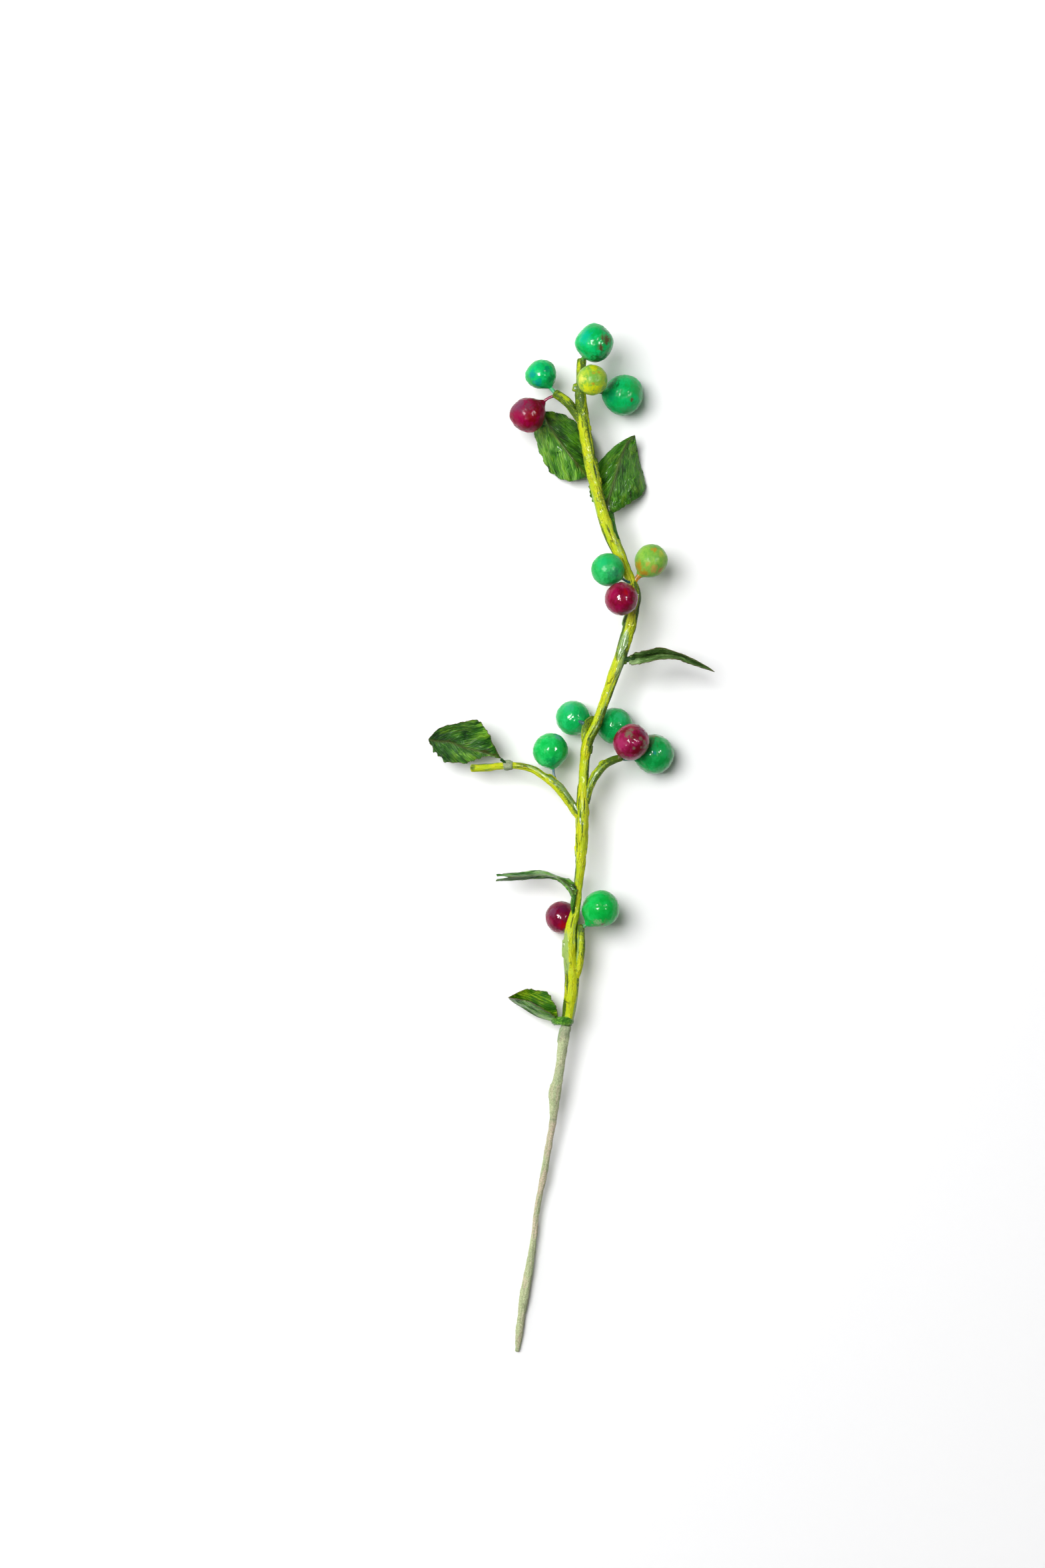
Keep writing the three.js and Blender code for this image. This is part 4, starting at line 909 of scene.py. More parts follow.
def berry_finish(name, berry, centre, radius, settings):
    """Brushed paint under lacquer: two close colours, then soft patches broken by the brush."""
    dull = berry.get("dull", 1.0)
    finish = Finish(name, IOR=1.5, Specular_IOR_Level=0.03, Roughness=0.34, Coat_IOR=1.28,
                    Coat_Weight=dull ** -0.6, Coat_Roughness=settings.gloss * dull)
    place = finish.place()
    clouds = finish.noise(place, 0.24, 3.0, 0.6)
    brush = finish.streaks(place, (1.0, 0.6, 0.8), 0.95, 4.0, 0.8)
    fine = finish.noise(place, 2.4, 3.0, 0.3)
    body, light = berry["colours"]
    coats = [((clouds * 0.6 + brush * 0.4).step(0.40, 0.62), light),
             (fine.step(0.46, 0.34) * 0.30, darker(body, 0.5))]
    for right, up, size, tint in berry["patches"]:
        spot = tuple(centre + radius * on_top(right, up))
        far = finish.vector("DISTANCE", place, spot, output="Value") / (size * radius)
        broken = far + (brush - 0.5) * 2.6 + (fine - 0.5) * 0.9
        coats.append((broken.step(1.25, 0.35) * 0.85, tint))
    finish.set("Base Color", finish.layers(body, *coats))
    finish.bump(brush * 0.5 + fine * 0.2, 0.16, 0.9)
    return finish


def plain_paint_finish(name, colour, other, roughness):
    """Paint on a thin wire: one colour with dabs of another and a few darker touches."""
    finish = Finish(name, IOR=1.5, Specular_IOR_Level=0.35)
    place = finish.place()
    touches = finish.noise(place, 0.60, 4.0, 0.5)
    fine = finish.noise(place, 2.2, 3.0, 0.3)
    finish.set("Base Color", finish.layers(
        colour,
        (touches.step(0.48, 0.60), other),
        (fine.step(0.56, 0.68) * 0.55, darker(colour, 0.35))))
    finish.set("Roughness", roughness + fine * 0.12)
    finish.bump(fine, 0.16, 0.7)
    return finish


def crepe_finish(name, crepe):
    """Dyed, varnished crepe with painted shade in its grooves, painted highlight on its ridges and a
    browned cut.
    """
    groove_shade, body, ridge, varnish = CREPES[crepe]
    finish = Finish(name, IOR=1.5, Specular_IOR_Level=0.10, Coat_IOR=1.38, Coat_Roughness=0.20)
    wrap = finish.tag("wrap", "Vector")
    pleats = finish.node(
        "ShaderNodeTexWave", {"wave_type": "BANDS", "bands_direction": "X"},
        {"Vector": finish.vector("MULTIPLY", wrap, (1.0, 0.16, 1.0)), "Scale": 0.80,
         "Distortion": 9.0, "Detail": 4.0, "Detail Scale": 1.2}, "Fac")
    fibres = finish.streaks(wrap, (1.0, 0.10, 1.0), 2.3, 5.0, 0.5)
    cloud = finish.streaks(wrap, (1.0, 0.5, 1.0), 0.30, 5.0, 0.6)
    relief = pleats * 0.24 + fibres * 1.15 - 0.195
    # The tone follows the pleats' height and the relief: painted shade low down, painted highlight on
    # top.
    tone = finish.tag("ridge") * 0.16 + relief * 0.62 + (cloud - 0.5) * 1.0 + finish.tag("wash")
    warm = finish.noise(wrap, 0.17, 4.0, 0.6)
    brown = finish.streaks(wrap, (1.0, 0.10, 1.0), 0.8, 3.0, 0.3)
    rim = (finish.tag("margin") + (fibres - 0.5) * 0.8).step(0.55, 0.9)
    finish.set("Base Color", finish.layers(
        groove_shade,
        (tone.step(0.24, 0.50), body),
        (tone.step(0.50, 0.76), ridge),
        (warm.step(0.50, 0.66) * tone.step(0.35, 0.55) * 0.45, (0.16, 0.30, 0.004)),
        (brown.step(0.62, 0.70) * 0.45, (0.075, 0.055, 0.008)),
        (finish.tag("rib") * (0.35 + fibres * 0.6), (0.065, 0.075, 0.012)),
        (rim * 0.85, CREPE_EDGE)))
    finish.set("Roughness", 0.30 + fibres * 0.15)
    finish.set("Coat Weight", cloud.step(0.42, 0.58) * varnish)
    finish.bump(relief, 0.36, 1.0)
    return finish


# ------------------------------------------------------------------ making the wood

# Sizes of the wrapping's features across, across and along the rod, in millimetres.
LUMP_SIZES = (3.0, 3.0, 5.0)
LUMP_HEIGHT = 0.05
LUMP_RADIUS = 1.6
CREASE_SIZES = (1.0, 1.0, 9.0)
FINE_CREASE_SIZES = (0.55, 0.55, 3.5)
CREASE_WAVES = 44
MOSS_SIZES = (1.6, 1.6, 14.0)
SAGE_SIZES = (2.2, 2.2, 12.0)
# The tape's edges: the pitch of a turn, how far an edge wanders (in radians) and over what
# length, how soon it rises and how slowly it falls, and the width of the line along it.
LAP_PITCHES = (26, 60)
LAP_WANDER = 0.16
LAP_WANDER_LENGTH = 7.0
LAP_RISE = 0.16
LAP_FALL = 1.1
LAP_LINE = 0.12
LEAST_REACH = 0.02


def wrapped_rod(name, points, step, columns, settings, seed, strokes=(), slits=(), tabs=(),
                laps=3, rough=1.0, even=None):
    """Paper tape wound on a wire, as a profile carried along a route.

    The radius is the route's, plus long-pitched tape edges that rise steeply and fall off
    round the rod, plus creases that run along it, plus lumps a few millimetres long, less
    the mean of all those, minus lens-shaped slits, plus tabs that stand out. Angle 0 is at
    the right of a rod that runs up or down the sprig, and above or below one that leaves
    it sideways, and a quarter turn is the side that faces up. even holds values that are
    the same all over the rod.
    """
    along, around, centres, radius, outward, ring = rod_grid(points, step, columns)
    lump = LUMP_HEIGHT * ripple(ring, LUMP_SIZES, seed) * radius / LUMP_RADIUS
    crease = ripple(ring, CREASE_SIZES, seed + 1, CREASE_WAVES)
    fine = ripple(ring, FINE_CREASE_SIZES, seed + 2, CREASE_WAVES)
    height = lump + rough * settings.crease / MM * (0.7 - np.abs(crease) + 0.5 * fine)
    crack = smooth_step(-0.16, -0.02, -np.abs(crease)) * smooth_step(0.0, 1.2, fine) * 0.7
    rng = np.random.default_rng(seed + 3)
    for lap in range(laps):
        pitch = rng.uniform(*LAP_PITCHES) * rng.choice((-1, 1))
        wander = LAP_WANDER * ripple_along(along, LAP_WANDER_LENGTH, seed + 10 + lap, 12)
        start = around - (lap / laps + along / pitch) * TURN - wander
        past = (start % TURN) * radius
        lifted = smooth_step(-0.9, 0.6, ripple((along, along * 0 + lap), (8.0, 3.0), seed + 30))
        edge = np.exp(-past / LAP_FALL) * smooth_step(0.0, LAP_RISE, past)
        height += settings.lap / MM * edge * lifted
        line = np.exp(-((past - 0.02) / LAP_LINE) ** 2)
        crack = np.maximum(crack, line * 0.28 * lifted)
    height -= height.mean()
    paints = {"moss": 0.35 * smooth_step(0.8, 1.6, ripple(ring, MOSS_SIZES, seed + 4)),
              "sage": 0.4 * smooth_step(0.7, 1.6, ripple(ring, SAGE_SIZES, seed + 5))}
    run = np.abs(np.subtract(points[0], points[-1]))
    upright = run[1] > run[0]
    downward = upright and points[0][1] > points[-1][1]
    places = np.broadcast_to(centres[..., int(upright)], around.shape)

    def lens(place, angle, length, width, softness):
        """1 at a point of the rod, falling to 0 at the given half length and half width."""
        turned = math.pi - math.radians(angle) if downward else math.radians(angle)
        swing = (around - turned + math.pi) % TURN - math.pi
        ends = (places - place) / length
        sides = np.degrees(swing) / width
        return smooth_step(0, 1, (1 - ends ** 2 - sides ** 2) * softness)

    for kind, place, angle, length, width, strength in strokes:
        mark = strength * lens(place, angle, length, width, 1.6)
        if kind == "clear":
            paints = {paint: spread * (1 - mark) for paint, spread in paints.items()}
        else:
            paints[kind] = np.maximum(paints[kind], mark)
    # Each slit is cut in and also darkened, carried with the cracks: painted shade in the slit.
    for place, angle, length, width, depth in slits:
        mark = lens(place, angle, length, width, 2.0)
        height -= depth * mark
        crack = np.maximum(crack, smooth_step(0.3, 0.9, mark))
    for place, angle, length, width, rise in tabs:
        height += rise * lens(place, angle, length, width, 2.4)
    height *= smooth_step(0.0, 1.0, rounded_ends(along, radius))
    reach = np.maximum(radius * rounded_ends(along, radius, 0.45) + height, LEAST_REACH)
    tags = {"wrap": np.stack(ring, axis=-1), "crack": np.clip(crack, 0, 1)}
    tags.update({paint: np.clip(spread, 0, 1) for paint, spread in paints.items()})
    tags.update({key: np.full(around.shape, value) for key, value in (even or {}).items()})
    return close_rod(name, centres, outward, reach, tags)


def stem_paint(name, settings, share_of_yellow, share_of_sage):
    """The finish of a painted rod, from the five paints of the stem."""
    tones = [tuple(getattr(settings, paint)) for paint in ("lime", "yellow", "olive", "sage", "moss")]
    return paint_finish(name, tones, share_of_yellow, share_of_sage)


STEM_YELLOW = 0.50
STEM_SAGE = 0.25
STEM_STEP = 0.19
STEM_COLUMNS = 60
BRANCH_STEP = 0.18
BRANCH_COLUMNS = 44
SHANK_STEP = 0.28
SHANK_COLUMNS = 40
SHANK_LAPS = 5
SHANK_ROUGHNESS = 1.5
COLLAR_STEP = 0.12
COLLAR_LAPS = 4


class SPRIG_OT_stem(Operator):
    """Make the painted main stem"""

    bl_idname = "sprig.stem"
    bl_label = "Main stem"

    def execute(self, context):
        settings = context.scene.sprig_wrap
        piece = wrapped_rod("stem", MAIN_STEM, STEM_STEP, STEM_COLUMNS, settings,
                            SEEDS["stem"], STEM_STROKES, STEM_SLITS, STEM_TABS)
        finish = stem_paint("stem_paint", settings, STEM_YELLOW, STEM_SAGE)
        dress(piece, [finish], "main_stem")
        return {"FINISHED"}


class SPRIG_OT_shank(Operator):
    """Make the taped lower length and its cut end"""

    bl_idname = "sprig.shank"
    bl_label = "Shank"

    def execute(self, context):
        settings = context.scene.sprig_wrap
        piece = wrapped_rod(
            "taped_shank", SHANK, SHANK_STEP, SHANK_COLUMNS, settings, SEEDS["shank"],
            SHANK_STROKES, tabs=SHANK_TABS, laps=SHANK_LAPS, rough=SHANK_ROUGHNESS)
        dress(piece, [tape_finish("shank_tape", settings)], "shank")
        return {"FINISHED"}


class SPRIG_OT_branches(Operator):
    """Make the forks and branches of the stem"""

    bl_idname = "sprig.branches"
    bl_label = "Branches"

    def execute(self, context):
        settings = context.scene.sprig_wrap
        for number, (node, branch) in enumerate(BRANCHES.items()):
            piece = wrapped_rod(
                f"wrapped_{node}", branch["route"], BRANCH_STEP, BRANCH_COLUMNS, settings,
                SEEDS["branches"] + SEED_STEP * number, branch["strokes"],
                branch.get("slits", ()), branch.get("tabs", ()))
            finish = stem_paint(f"{node}_paint", settings, branch["yellow"], branch["sage"])
            dress(piece, [finish], node)
        return {"FINISHED"}


class SPRIG_OT_collar(Operator):
    """Make the tape that binds a leaf to the left branch"""

    bl_idname = "sprig.collar"
    bl_label = "Leaf collar"

    def execute(self, context):
        settings = context.scene.sprig_wrap
        piece = wrapped_rod("tape_collar", LEAF_COLLAR, COLLAR_STEP, BRANCH_COLUMNS, settings,
                            SEEDS["collar"], COLLAR_STROKES, tabs=COLLAR_TABS, laps=COLLAR_LAPS)
        dress(piece, [tape_finish("collar_tape", settings)], "leaf_collar")
        return {"FINISHED"}


# ------------------------------------------------------------------ making the berries

BERRY_ROWS = 76
BERRY_COLUMNS = 106
BERRY_FULLNESS = 1.012
BERRY_LUMP_SIZE = 3.6
DENT_SIZE = 1.7
SMALL_DENT_SIZE = 0.8
SMALL_DENT_SHARE = 0.45
DENT_WAVES = 60
NECK_WIDTH = 0.20
SKIRT_WIDTH = 0.5
SKIRT_SHARE = 0.25


def berry_ball(name, centre, radius, berry, settings):
    """A hand-formed ball about the axis that points at its stalk.

    In every direction the distance from the centre is the radius, less a soft press at each
    of the flats, plus lumps, plus small dents and smaller ones, plus a neck that rises to
    the stalk as the sum of a narrow and a wide bell curve of the angle from the axis.
    """
    axis = unit(np.asarray(berry["stalk"][-2][:3], float) - centre)
    side = unit(np.cross(axis, (0.31, 0.17, 0.93)))
    front = np.cross(axis, side)
    polar = np.linspace(0, math.pi, BERRY_ROWS + 2)[1:-1]
    turn = np.arange(BERRY_COLUMNS) * TURN / BERRY_COLUMNS
    away, round_about = np.meshgrid(polar, turn, indexing="ij")
    neck, seed = berry["neck"], berry["seed"]

    def reach_of(directions, angle):
        pressed = 0.0
        for right, up, depth, width in berry["flats"]:
            apart = np.arccos(np.clip(directions @ unit(on_top(right, up)), -1, 1))
            pressed = pressed + depth * radius * np.exp(-(apart / width) ** 2)
        where = tuple(np.moveaxis(directions * radius, -1, 0))
        dents = (ripple(where, (DENT_SIZE,) * 3, seed + 2, DENT_WAVES)
                 + SMALL_DENT_SHARE * ripple(where, (SMALL_DENT_SIZE,) * 3, seed + 3, DENT_WAVES))
        rough = (settings.lump / MM * ripple(where, (BERRY_LUMP_SIZE,) * 3, seed + 1)
                 + settings.dent / MM * dents)
        bell = (neck * np.exp(-(angle / NECK_WIDTH) ** 2)
                + SKIRT_SHARE * neck * np.exp(-(angle / SKIRT_WIDTH) ** 2))
        return radius - pressed + rough + bell

    def grid_at(angle, around):
        directions = (axis * np.cos(angle)[..., None]
                      + side * (np.sin(angle) * np.cos(around))[..., None]
                      + front * (np.sin(angle) * np.sin(around))[..., None])
        return centre + directions * reach_of(directions, angle)[..., None]

    body = grid_at(away, round_about).reshape(-1, 3)
    poles = grid_at(np.array([0.0, math.pi]), np.zeros(2))
    return fill_mesh(name, np.concatenate([body, poles]), *tube_faces(BERRY_ROWS, BERRY_COLUMNS))


def berry_seat(node):
    """The centre and radius of a packed berry, in millimetres, from its box.

    The box is the ball's, but for the neck, which is so short that the shortest side of
    the box is the ball's own width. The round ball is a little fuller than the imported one,
    whose facets cut inside it, and a berry on the floor is lifted by as much.
    """
    low, high = (np.array(corner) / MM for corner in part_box(node))
    centre, radius = (low + high) / 2, BERRY_FULLNESS * (high - low).min() / 2
    centre[2] = max(centre[2], radius)
    return centre, radius


class SPRIG_OT_berries(Operator):
    """Make the lacquered berries"""

    bl_idname = "sprig.berries"
    bl_label = "Berries"

    def execute(self, context):
        settings = context.scene.sprig_berry
        for number, berry in enumerate(BERRIES, 1):
            node = f"berry_{number}"
            centre, radius = berry_seat(node)
            piece = berry_ball(f"lacquered_{node}", centre, radius, berry, settings)
            finish = berry_finish(f"{node}_paint", berry, centre, radius, settings)
            dress(piece, [finish], node)
        return {"FINISHED"}


STALK_STEP = 0.22
STALK_COLUMNS = 22
STALK_LUMP_SIZES = (1.2, 1.2, 3.5)
STALK_LUMP_HEIGHT = 0.05
STALK_LEAST_RADIUS = 0.1
STALK_ROUGHNESS = 0.22
STALK_END = 0.5


def longer(points, start, end):
    """The points of a route, with its first and last moved outward by two lengths."""
    points = np.array(points, float)
    points[0, :3] += unit(points[0, :3] - points[1, :3]) * start
    points[-1, :3] += unit(points[-1, :3] - points[-2, :3]) * end
    return points


def thin_rod(name, points, seed):
    """A painted wire: the route's radius plus small lumps, closed by rounded ends."""
    along, _, centres, radius, outward, ring = rod_grid(points, STALK_STEP, STALK_COLUMNS)
    height = STALK_LUMP_HEIGHT * ripple(ring, STALK_LUMP_SIZES, seed)
    reach = np.maximum(radius + height, STALK_LEAST_RADIUS) * rounded_ends(along, radius, 0.6)
    return close_rod(name, centres, outward, reach)


class SPRIG_OT_berry_stalks(Operator):
    """Make the painted wires that carry the berries"""

    bl_idname = "sprig.berry_stalks"
    bl_label = "Berry stalks"

    def execute(self, context):
        for number, berry in enumerate(BERRIES, 1):
            node = f"berry_stalk_{number}"
            piece = thin_rod(f"painted_{node}", longer(berry["stalk"], 0, STALK_END),
                             SEEDS["berry_stalks"] + number)
            colour = berry["stalk_colour"]
            dabs = tuple(0.6 * channel + 0.05 for channel in colour)
            finish = plain_paint_finish(f"{node}_paint", colour, dabs, STALK_ROUGHNESS)
            dress(piece, [finish], node)
        return {"FINISHED"}


# ------------------------------------------------------------------ making the leaves

LEAF_GRAIN = 0.17
LEAF_OVERLAP = 0.08
LEAF_END_SHARE = 0.14
LEAF_SQUARENESS = 12
CROWN_SHARE = 0.08
RIB_WIDTH = 0.5
RIB_HEIGHT = 0.22
FORK_START = 0.90
FORK_END = 0.985
PLEAT_LENGTH = 4.5
FOLD_SIZES = (2.6, 6.0)
FOLD_HEIGHT = 0.10
MARGIN_WIDTH = 0.28
BARE_WASH = 0.12
STALK_WASH = 0.10
HALVES_APART = 50
SIDES = ("left", "right")
LEAF_MEASURES = 200
PLEAT_WAVES = 80
FOLD_WAVES = 30
STRAY_WAVES = 20
CUT_WAVES = 20
STRAY = 0.40


def leaf_width(t):
    """The share of its margins that a leaf reaches at t: full, but rounded at both ends."""
    return np.maximum(LEAF_END_SHARE, np.sqrt(1 - np.abs(2 * t - 1) ** LEAF_SQUARENESS))


def crepe_half(leaf, half, settings, seed):
    """One half of a leaf, from just past the leaf's rib to its margin, as a closed sheet.

    The bare half runs straight from the rib to the margin and bulges by the crown times
    the sine of pi times the share of the way. On it lie the pleats: a random field that is
    short across a pleat and long along it, where a pleat leaves the leaf's rib at the half's
    ribbing angle, towards the base, and strays a little. The margin is cut ragged and the
    leaf's rib shows as a low round ridge. A forked leaf's halves part near the tip.
    """
    sign = (-1, 1)[half]
    edge = leaf[SIDES[half]]
    angle = math.radians(leaf["ribbing"][half])
    fine_t = np.linspace(0, 1, LEAF_MEASURES)
    rib_line = spline(leaf["rib"], fine_t)
    length = np.linalg.norm(np.diff(rib_line, axis=0), axis=1).sum()
    width = np.linalg.norm(spline(edge, fine_t) - rib_line, axis=1).max()
    rows = int(length / LEAF_GRAIN) + 1
    columns = int(width / LEAF_GRAIN) + 4
    t = np.linspace(0, 1, rows)
    share = np.linspace(0, 1, columns)
    rib = spline(leaf["rib"], t)
    out = spline(edge, t) - rib
    reach = np.linalg.norm(out, axis=1)
    walked = t * length
    ragged = settings.ragged / MM * (
        ripple_along(walked, 2.6, seed, CUT_WAVES)
        + 0.30 * ripple_along(walked, 0.8, seed + 1, CUT_WAVES))
    fork = leaf.get("fork", 0.0) * smooth_step(FORK_START, FORK_END, t)
    full = leaf_width(t)
    stretch = full * (1 + np.clip(ragged, -0.6, 0.6) / np.maximum(reach, 1.5))
    stretch = np.maximum(stretch, 2 * fork)
    inner = fork - LEAF_OVERLAP / np.maximum(reach, 2.0)
    shares = share[None, :] * (stretch - inner)[:, None] + inner[:, None]
    across = spline(leaf["right"], t) - spline(leaf["left"], t)
    crown_way = unit(np.cross(across, np.gradient(rib, axis=0)))
    outward = shares * reach[:, None]
    crown = np.minimum(settings.crown / MM, CROWN_SHARE * reach * full)
    bulge = crown[:, None] * np.sin(math.pi * np.clip(shares, 0, 1))
    ribbed = np.exp(-(outward / leaf.get("rib_width", RIB_WIDTH)) ** 2)
    surface = (rib[:, None] + out[:, None] * shares[..., None]
               + crown_way[:, None] * (bulge + RIB_HEIGHT * ribbed)[..., None])
    q = walked[:, None] * math.sin(angle) + outward * math.cos(angle)
    p = outward * math.sin(angle) - walked[:, None] * math.cos(angle)
    strayed = q + STRAY * ripple((q, p), (3.5, 3.0), seed + 4, STRAY_WAVES)
    strength = 0.7 + 0.35 * ripple((q, p), (2.5, 5.0), seed + 5, STRAY_WAVES)
    pleat_sizes = (settings.pleat_spacing / MM, PLEAT_LENGTH)
    ribs = strength * ripple((strayed, p), pleat_sizes, seed + 2, PLEAT_WAVES)
    folds = ripple((strayed, p), FOLD_SIZES, seed + 3, FOLD_WAVES)
    rim_gap = np.maximum((reach * stretch)[:, None] - outward, 0)
    calm = smooth_step(0.1, 1.0, outward) * smooth_step(0.0, 0.04, t)[:, None]
    calm *= 0.1 + 0.9 * smooth_step(0.0, 1.2, rim_gap)
    pleats = leaf.get("pleats", 1.0)
    height = calm * pleats * (settings.pleat_height / MM * ribs + FOLD_HEIGHT * folds)
    normal = unit(np.cross(np.gradient(surface, axis=1) * sign, np.gradient(surface, axis=0)))
    surface = surface + normal * height[..., None]
    half_thickness = settings.thickness / MM / 2
    wash = BARE_WASH + sum(
        shift * np.exp(-((surface[..., 0] - x) ** 2 + (surface[..., 1] - y) ** 2) / size ** 2)
        for x, y, size, shift in leaf["washes"])
    tags = {
        # ridge is the pleats' height: it lightens the ridges as painted highlight and darkens the
        # grooves as painted shade.
        "ridge": np.clip(0.5 + pleats * (0.26 * ribs + 0.12 * folds), 0, 1),
        "margin": np.exp(-rim_gap / MARGIN_WIDTH),
        "rib": ribbed,
        "wash": wash,
        "wrap": np.stack([q + HALVES_APART * (sign + 1), p, np.zeros_like(q)], axis=-1),
    }

    def listed(face):
        """A face's values as one list, with the columns in the order that faces outward."""
        return face[:, ::sign].reshape(-1, *face.shape[2:])

    points = np.concatenate([listed(surface + normal * half_thickness),
                             listed(surface - normal * half_thickness)])
    tags = {key: np.concatenate([listed(values)] * 2) for key, values in tags.items()}
    return points, sheet_faces(rows, columns), tags


class SPRIG_OT_leaves(Operator):
    """Make the crepe-paper leaves"""

    bl_idname = "sprig.leaves"
    bl_label = "Leaves"

    def execute(self, context):
        settings = context.scene.sprig_leaf
        for number, leaf in enumerate(LEAVES, 1):
            seed = SEEDS["leaves"] + SEED_STEP * number
            (left, left_faces, left_tags), (right, right_faces, right_tags) = (
                crepe_half(leaf, half, settings, seed + HALF_SEED_STEP * half) for half in (0, 1))
            piece = fill_mesh(
                f"crepe_leaf_{number}",
                np.concatenate([left, right]),
                np.concatenate([left_faces, right_faces + len(left)]),
                np.zeros((0, 3), int),
                {key: np.concatenate([left_tags[key], right_tags[key]]) for key in left_tags},
                np.repeat([0, 1], [len(left_faces), len(right_faces)]))
            finishes = [crepe_finish(f"leaf_{number}_{side}_crepe", crepe)
                        for side, crepe in zip(SIDES, leaf["halves"])]
            dress(piece, finishes, f"leaf_{number}")
        return {"FINISHED"}


LEAF_STALK_COLUMNS = 36
LEAF_STALK_ROUGHNESS = 1.1


class SPRIG_OT_leaf_stalks(Operator):
    """Make the wrapped wires that carry the leaves"""

    bl_idname = "sprig.leaf_stalks"
    bl_label = "Leaf stalks"

    def execute(self, context):
        for number, leaf in enumerate(LEAVES, 1):
            node = f"leaf_stalk_{number}"
            tags = {"ridge": 0.5, "wash": leaf.get("stalk_wash", STALK_WASH), "rib": 0.0,
                    "margin": 0.0}
            piece = wrapped_rod(
                f"wrapped_{node}", longer(leaf["stalk"], STALK_END, STALK_END), BRANCH_STEP,
                LEAF_STALK_COLUMNS, context.scene.sprig_wrap,
                SEEDS["leaf_stalks"] + SEED_STEP * number, rough=LEAF_STALK_ROUGHNESS, even=tags)
            dress(piece, [crepe_finish(f"{node}_crepe", leaf["halves"][1])], node)
        return {"FINISHED"}


# ------------------------------------------------------------------ stage

FLOOR_HALF = 4.0
# The upward part of a direction between which the light from all sides turns overhead.
SKY_FADE = (0.15, 0.85)
SENSOR_WIDTH = 36.0
LIGHTS = [
    # name, setting, direction from the sprig, distance, width, height, only in the varnish
    ("window_light", "key", (-0.36, 0.24, 0.90), 1.8, 1.1, 1.1, False),
    ("side_light", "side", (-0.90, 0.15, 0.40), 1.8, 1.0, 0.6, False),
    ("left_gleam", "gleam", (-0.34, 0.12, 0.93), 1.6, 0.40, 0.52, True),
    ("right_gleam", "gleam", (0.52, 0.16, 0.84), 1.6, 0.24, 0.40, True),
]


def aim(item, target):
    """Turns a light or camera so that it looks at the target with its top towards +Y."""
    way = unit(np.asarray(target, float) - np.array(item.location))
    right = unit(np.cross(way, (0.0, 1.0, 0.0)))
    top = np.cross(right, way)
    item.rotation_euler = Matrix(np.stack([right, top, -way], axis=1).tolist()).to_euler()


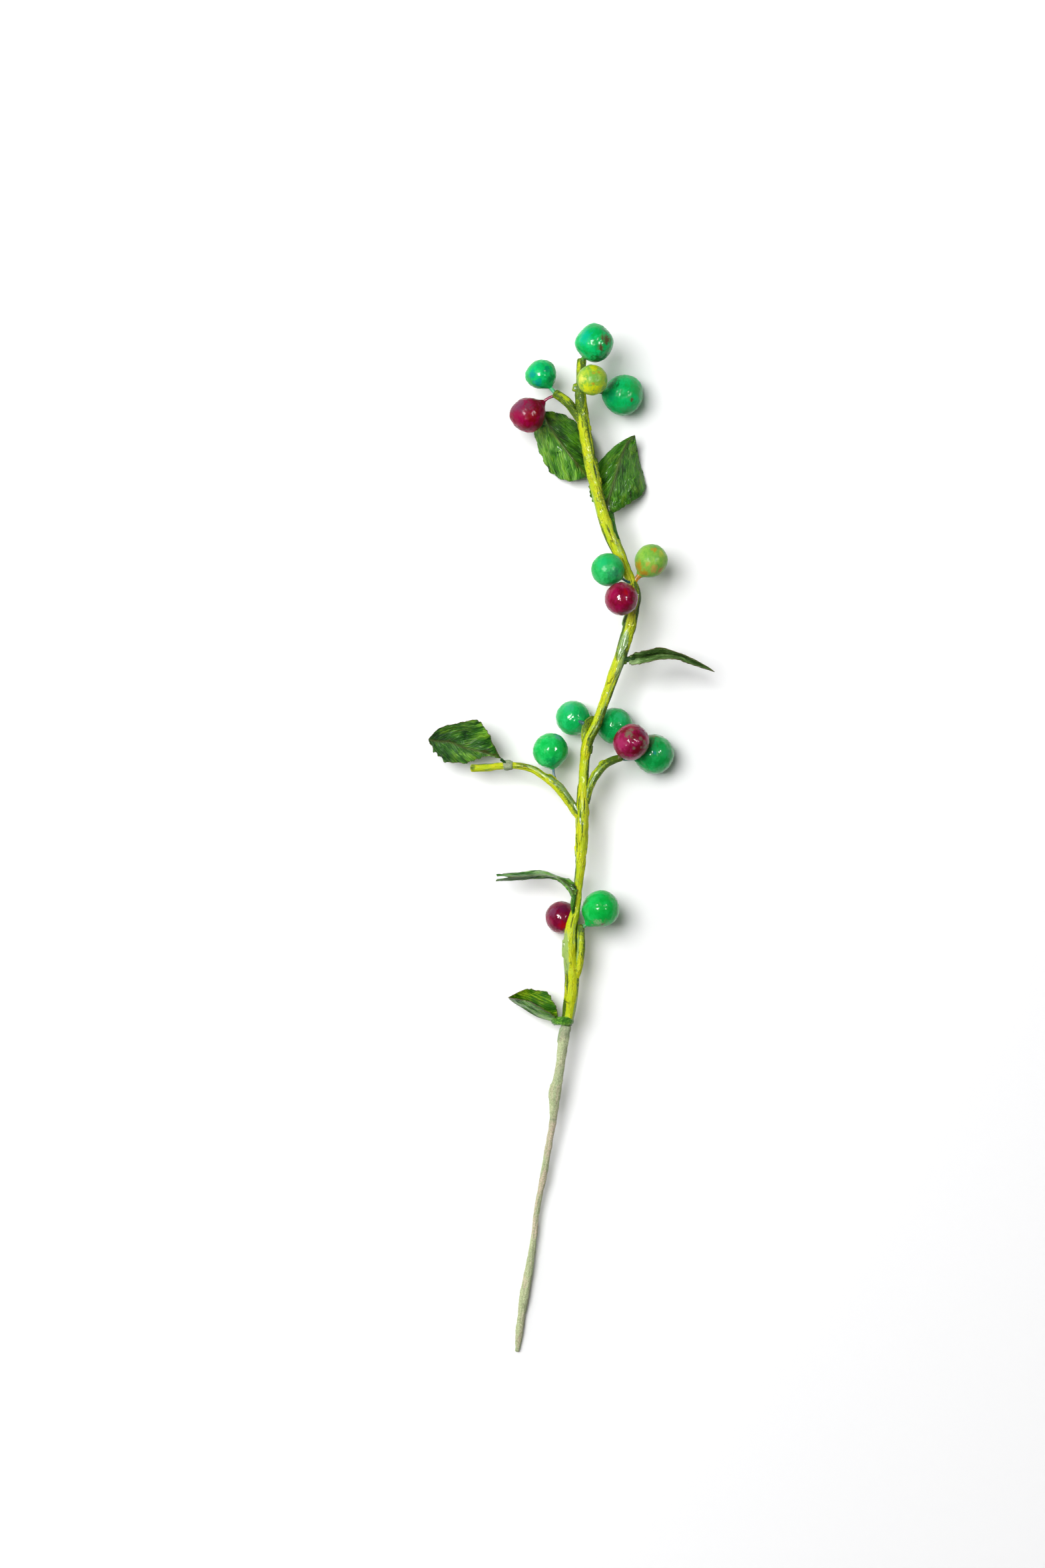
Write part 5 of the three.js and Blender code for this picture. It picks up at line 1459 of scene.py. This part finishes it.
class SPRIG_OT_stage(Operator):
    """Make the surface, the lights and the camera"""

    bl_idname = "sprig.stage"
    bl_label = "Stage"

    def execute(self, context):
        scene = context.scene
        settings = scene.sprig_stage
        corners = np.array([(-1, -1, 0), (1, -1, 0), (1, 1, 0), (-1, 1, 0)], float)
        square = np.array([[0, 1, 2, 3]])
        floor = fill_mesh("floor", corners * FLOOR_HALF / MM, square, np.zeros((0, 3), int))
        pale = Finish("floor_finish", Base_Color=tuple(settings.floor), Roughness=0.9,
                      Specular_IOR_Level=0.0)
        floor.data.materials.append(pale.material)
        low, high = CAD_BOX
        middle = (np.array(low) + np.array(high)) / 2
        for name, strength, way, distance, width, height, gleam in LIGHTS:
            light = bpy.data.lights.new(name, "AREA")
            light.shape = "RECTANGLE"
            light.size = width
            light.size_y = height
            power = getattr(settings, strength)
            light.energy = power * math.pi * width * height if gleam else power
            lamp = bpy.data.objects.new(name, light)
            scene.collection.objects.link(lamp)
            lamp.location = middle + unit(np.array(way)) * distance
            lamp.visible_camera = False
            lamp.visible_diffuse = not gleam
            lamp.visible_glossy = gleam
            aim(lamp, middle)
        world = bpy.data.worlds.new("studio")
        world.use_nodes = True
        background = world.node_tree.nodes["Background"]
        sky = Nodes(world.node_tree)
        towards = sky.node("ShaderNodeTexCoord", {}, {}, "Generated")
        upward = sky.node("ShaderNodeSeparateXYZ", {}, {0: towards}, "Z")
        glow = sky.node("ShaderNodeMapRange", {}, {
            "Value": upward, "From Min": SKY_FADE[0], "From Max": SKY_FADE[1],
            "To Min": settings.ambient, "To Max": settings.overhead})
        sky.feed(background.inputs["Strength"], glow)
        sky.feed(background.inputs["Color"], (1.0, 1.0, 1.0))
        scene.world = world
        lens = bpy.data.cameras.new("camera")
        lens.lens = settings.lens
        lens.sensor_width = SENSOR_WIDTH
        lens.clip_start = 0.05
        lens.clip_end = 20.0
        eye = bpy.data.objects.new("camera", lens)
        scene.collection.objects.link(eye)
        eye.location = settings.eye
        scene.camera = eye
        scene.view_settings.view_transform = "Standard"
        return {"FINISHED"}


# ------------------------------------------------------------------ panel and registration

OPERATORS = (
    SPRIG_OT_stem, SPRIG_OT_shank, SPRIG_OT_branches, SPRIG_OT_collar, SPRIG_OT_berries,
    SPRIG_OT_berry_stalks, SPRIG_OT_leaves, SPRIG_OT_leaf_stalks, SPRIG_OT_stage,
)
SETTINGS = {
    "sprig_wrap": SprigWrapSettings,
    "sprig_berry": SprigBerrySettings,
    "sprig_leaf": SprigLeafSettings,
    "sprig_stage": SprigStageSettings,
}


class VIEW3D_PT_sprig(Panel):
    """Lists the pieces of the sprig and their settings"""

    bl_label = "Chokeberry Sprig"
    bl_space_type = "VIEW_3D"
    bl_region_type = "UI"
    bl_category = "Sprig"

    def draw(self, context):
        for operator in OPERATORS:
            self.layout.operator(operator.bl_idname)
        for key, group in SETTINGS.items():
            box = self.layout.box()
            for name in group.__annotations__:
                box.prop(getattr(context.scene, key), name)


CLASSES = (*SETTINGS.values(), *OPERATORS, VIEW3D_PT_sprig)


def register():
    for cls in CLASSES:
        bpy.utils.register_class(cls)
    for key, group in SETTINGS.items():
        setattr(bpy.types.Scene, key, PointerProperty(type=group))


def unregister():
    for key in SETTINGS:
        delattr(bpy.types.Scene, key)
    for cls in reversed(CLASSES):
        bpy.utils.unregister_class(cls)


def main():
    """Makes every piece and the stage."""
    register()
    bpy.ops.sprig.stage()
    bpy.ops.sprig.stem()
    bpy.ops.sprig.shank()
    bpy.ops.sprig.branches()
    bpy.ops.sprig.collar()
    bpy.ops.sprig.berries()
    bpy.ops.sprig.berry_stalks()
    bpy.ops.sprig.leaves()
    bpy.ops.sprig.leaf_stalks()
    bpy.context.view_layer.update()


if __name__ == "__main__":
    main()
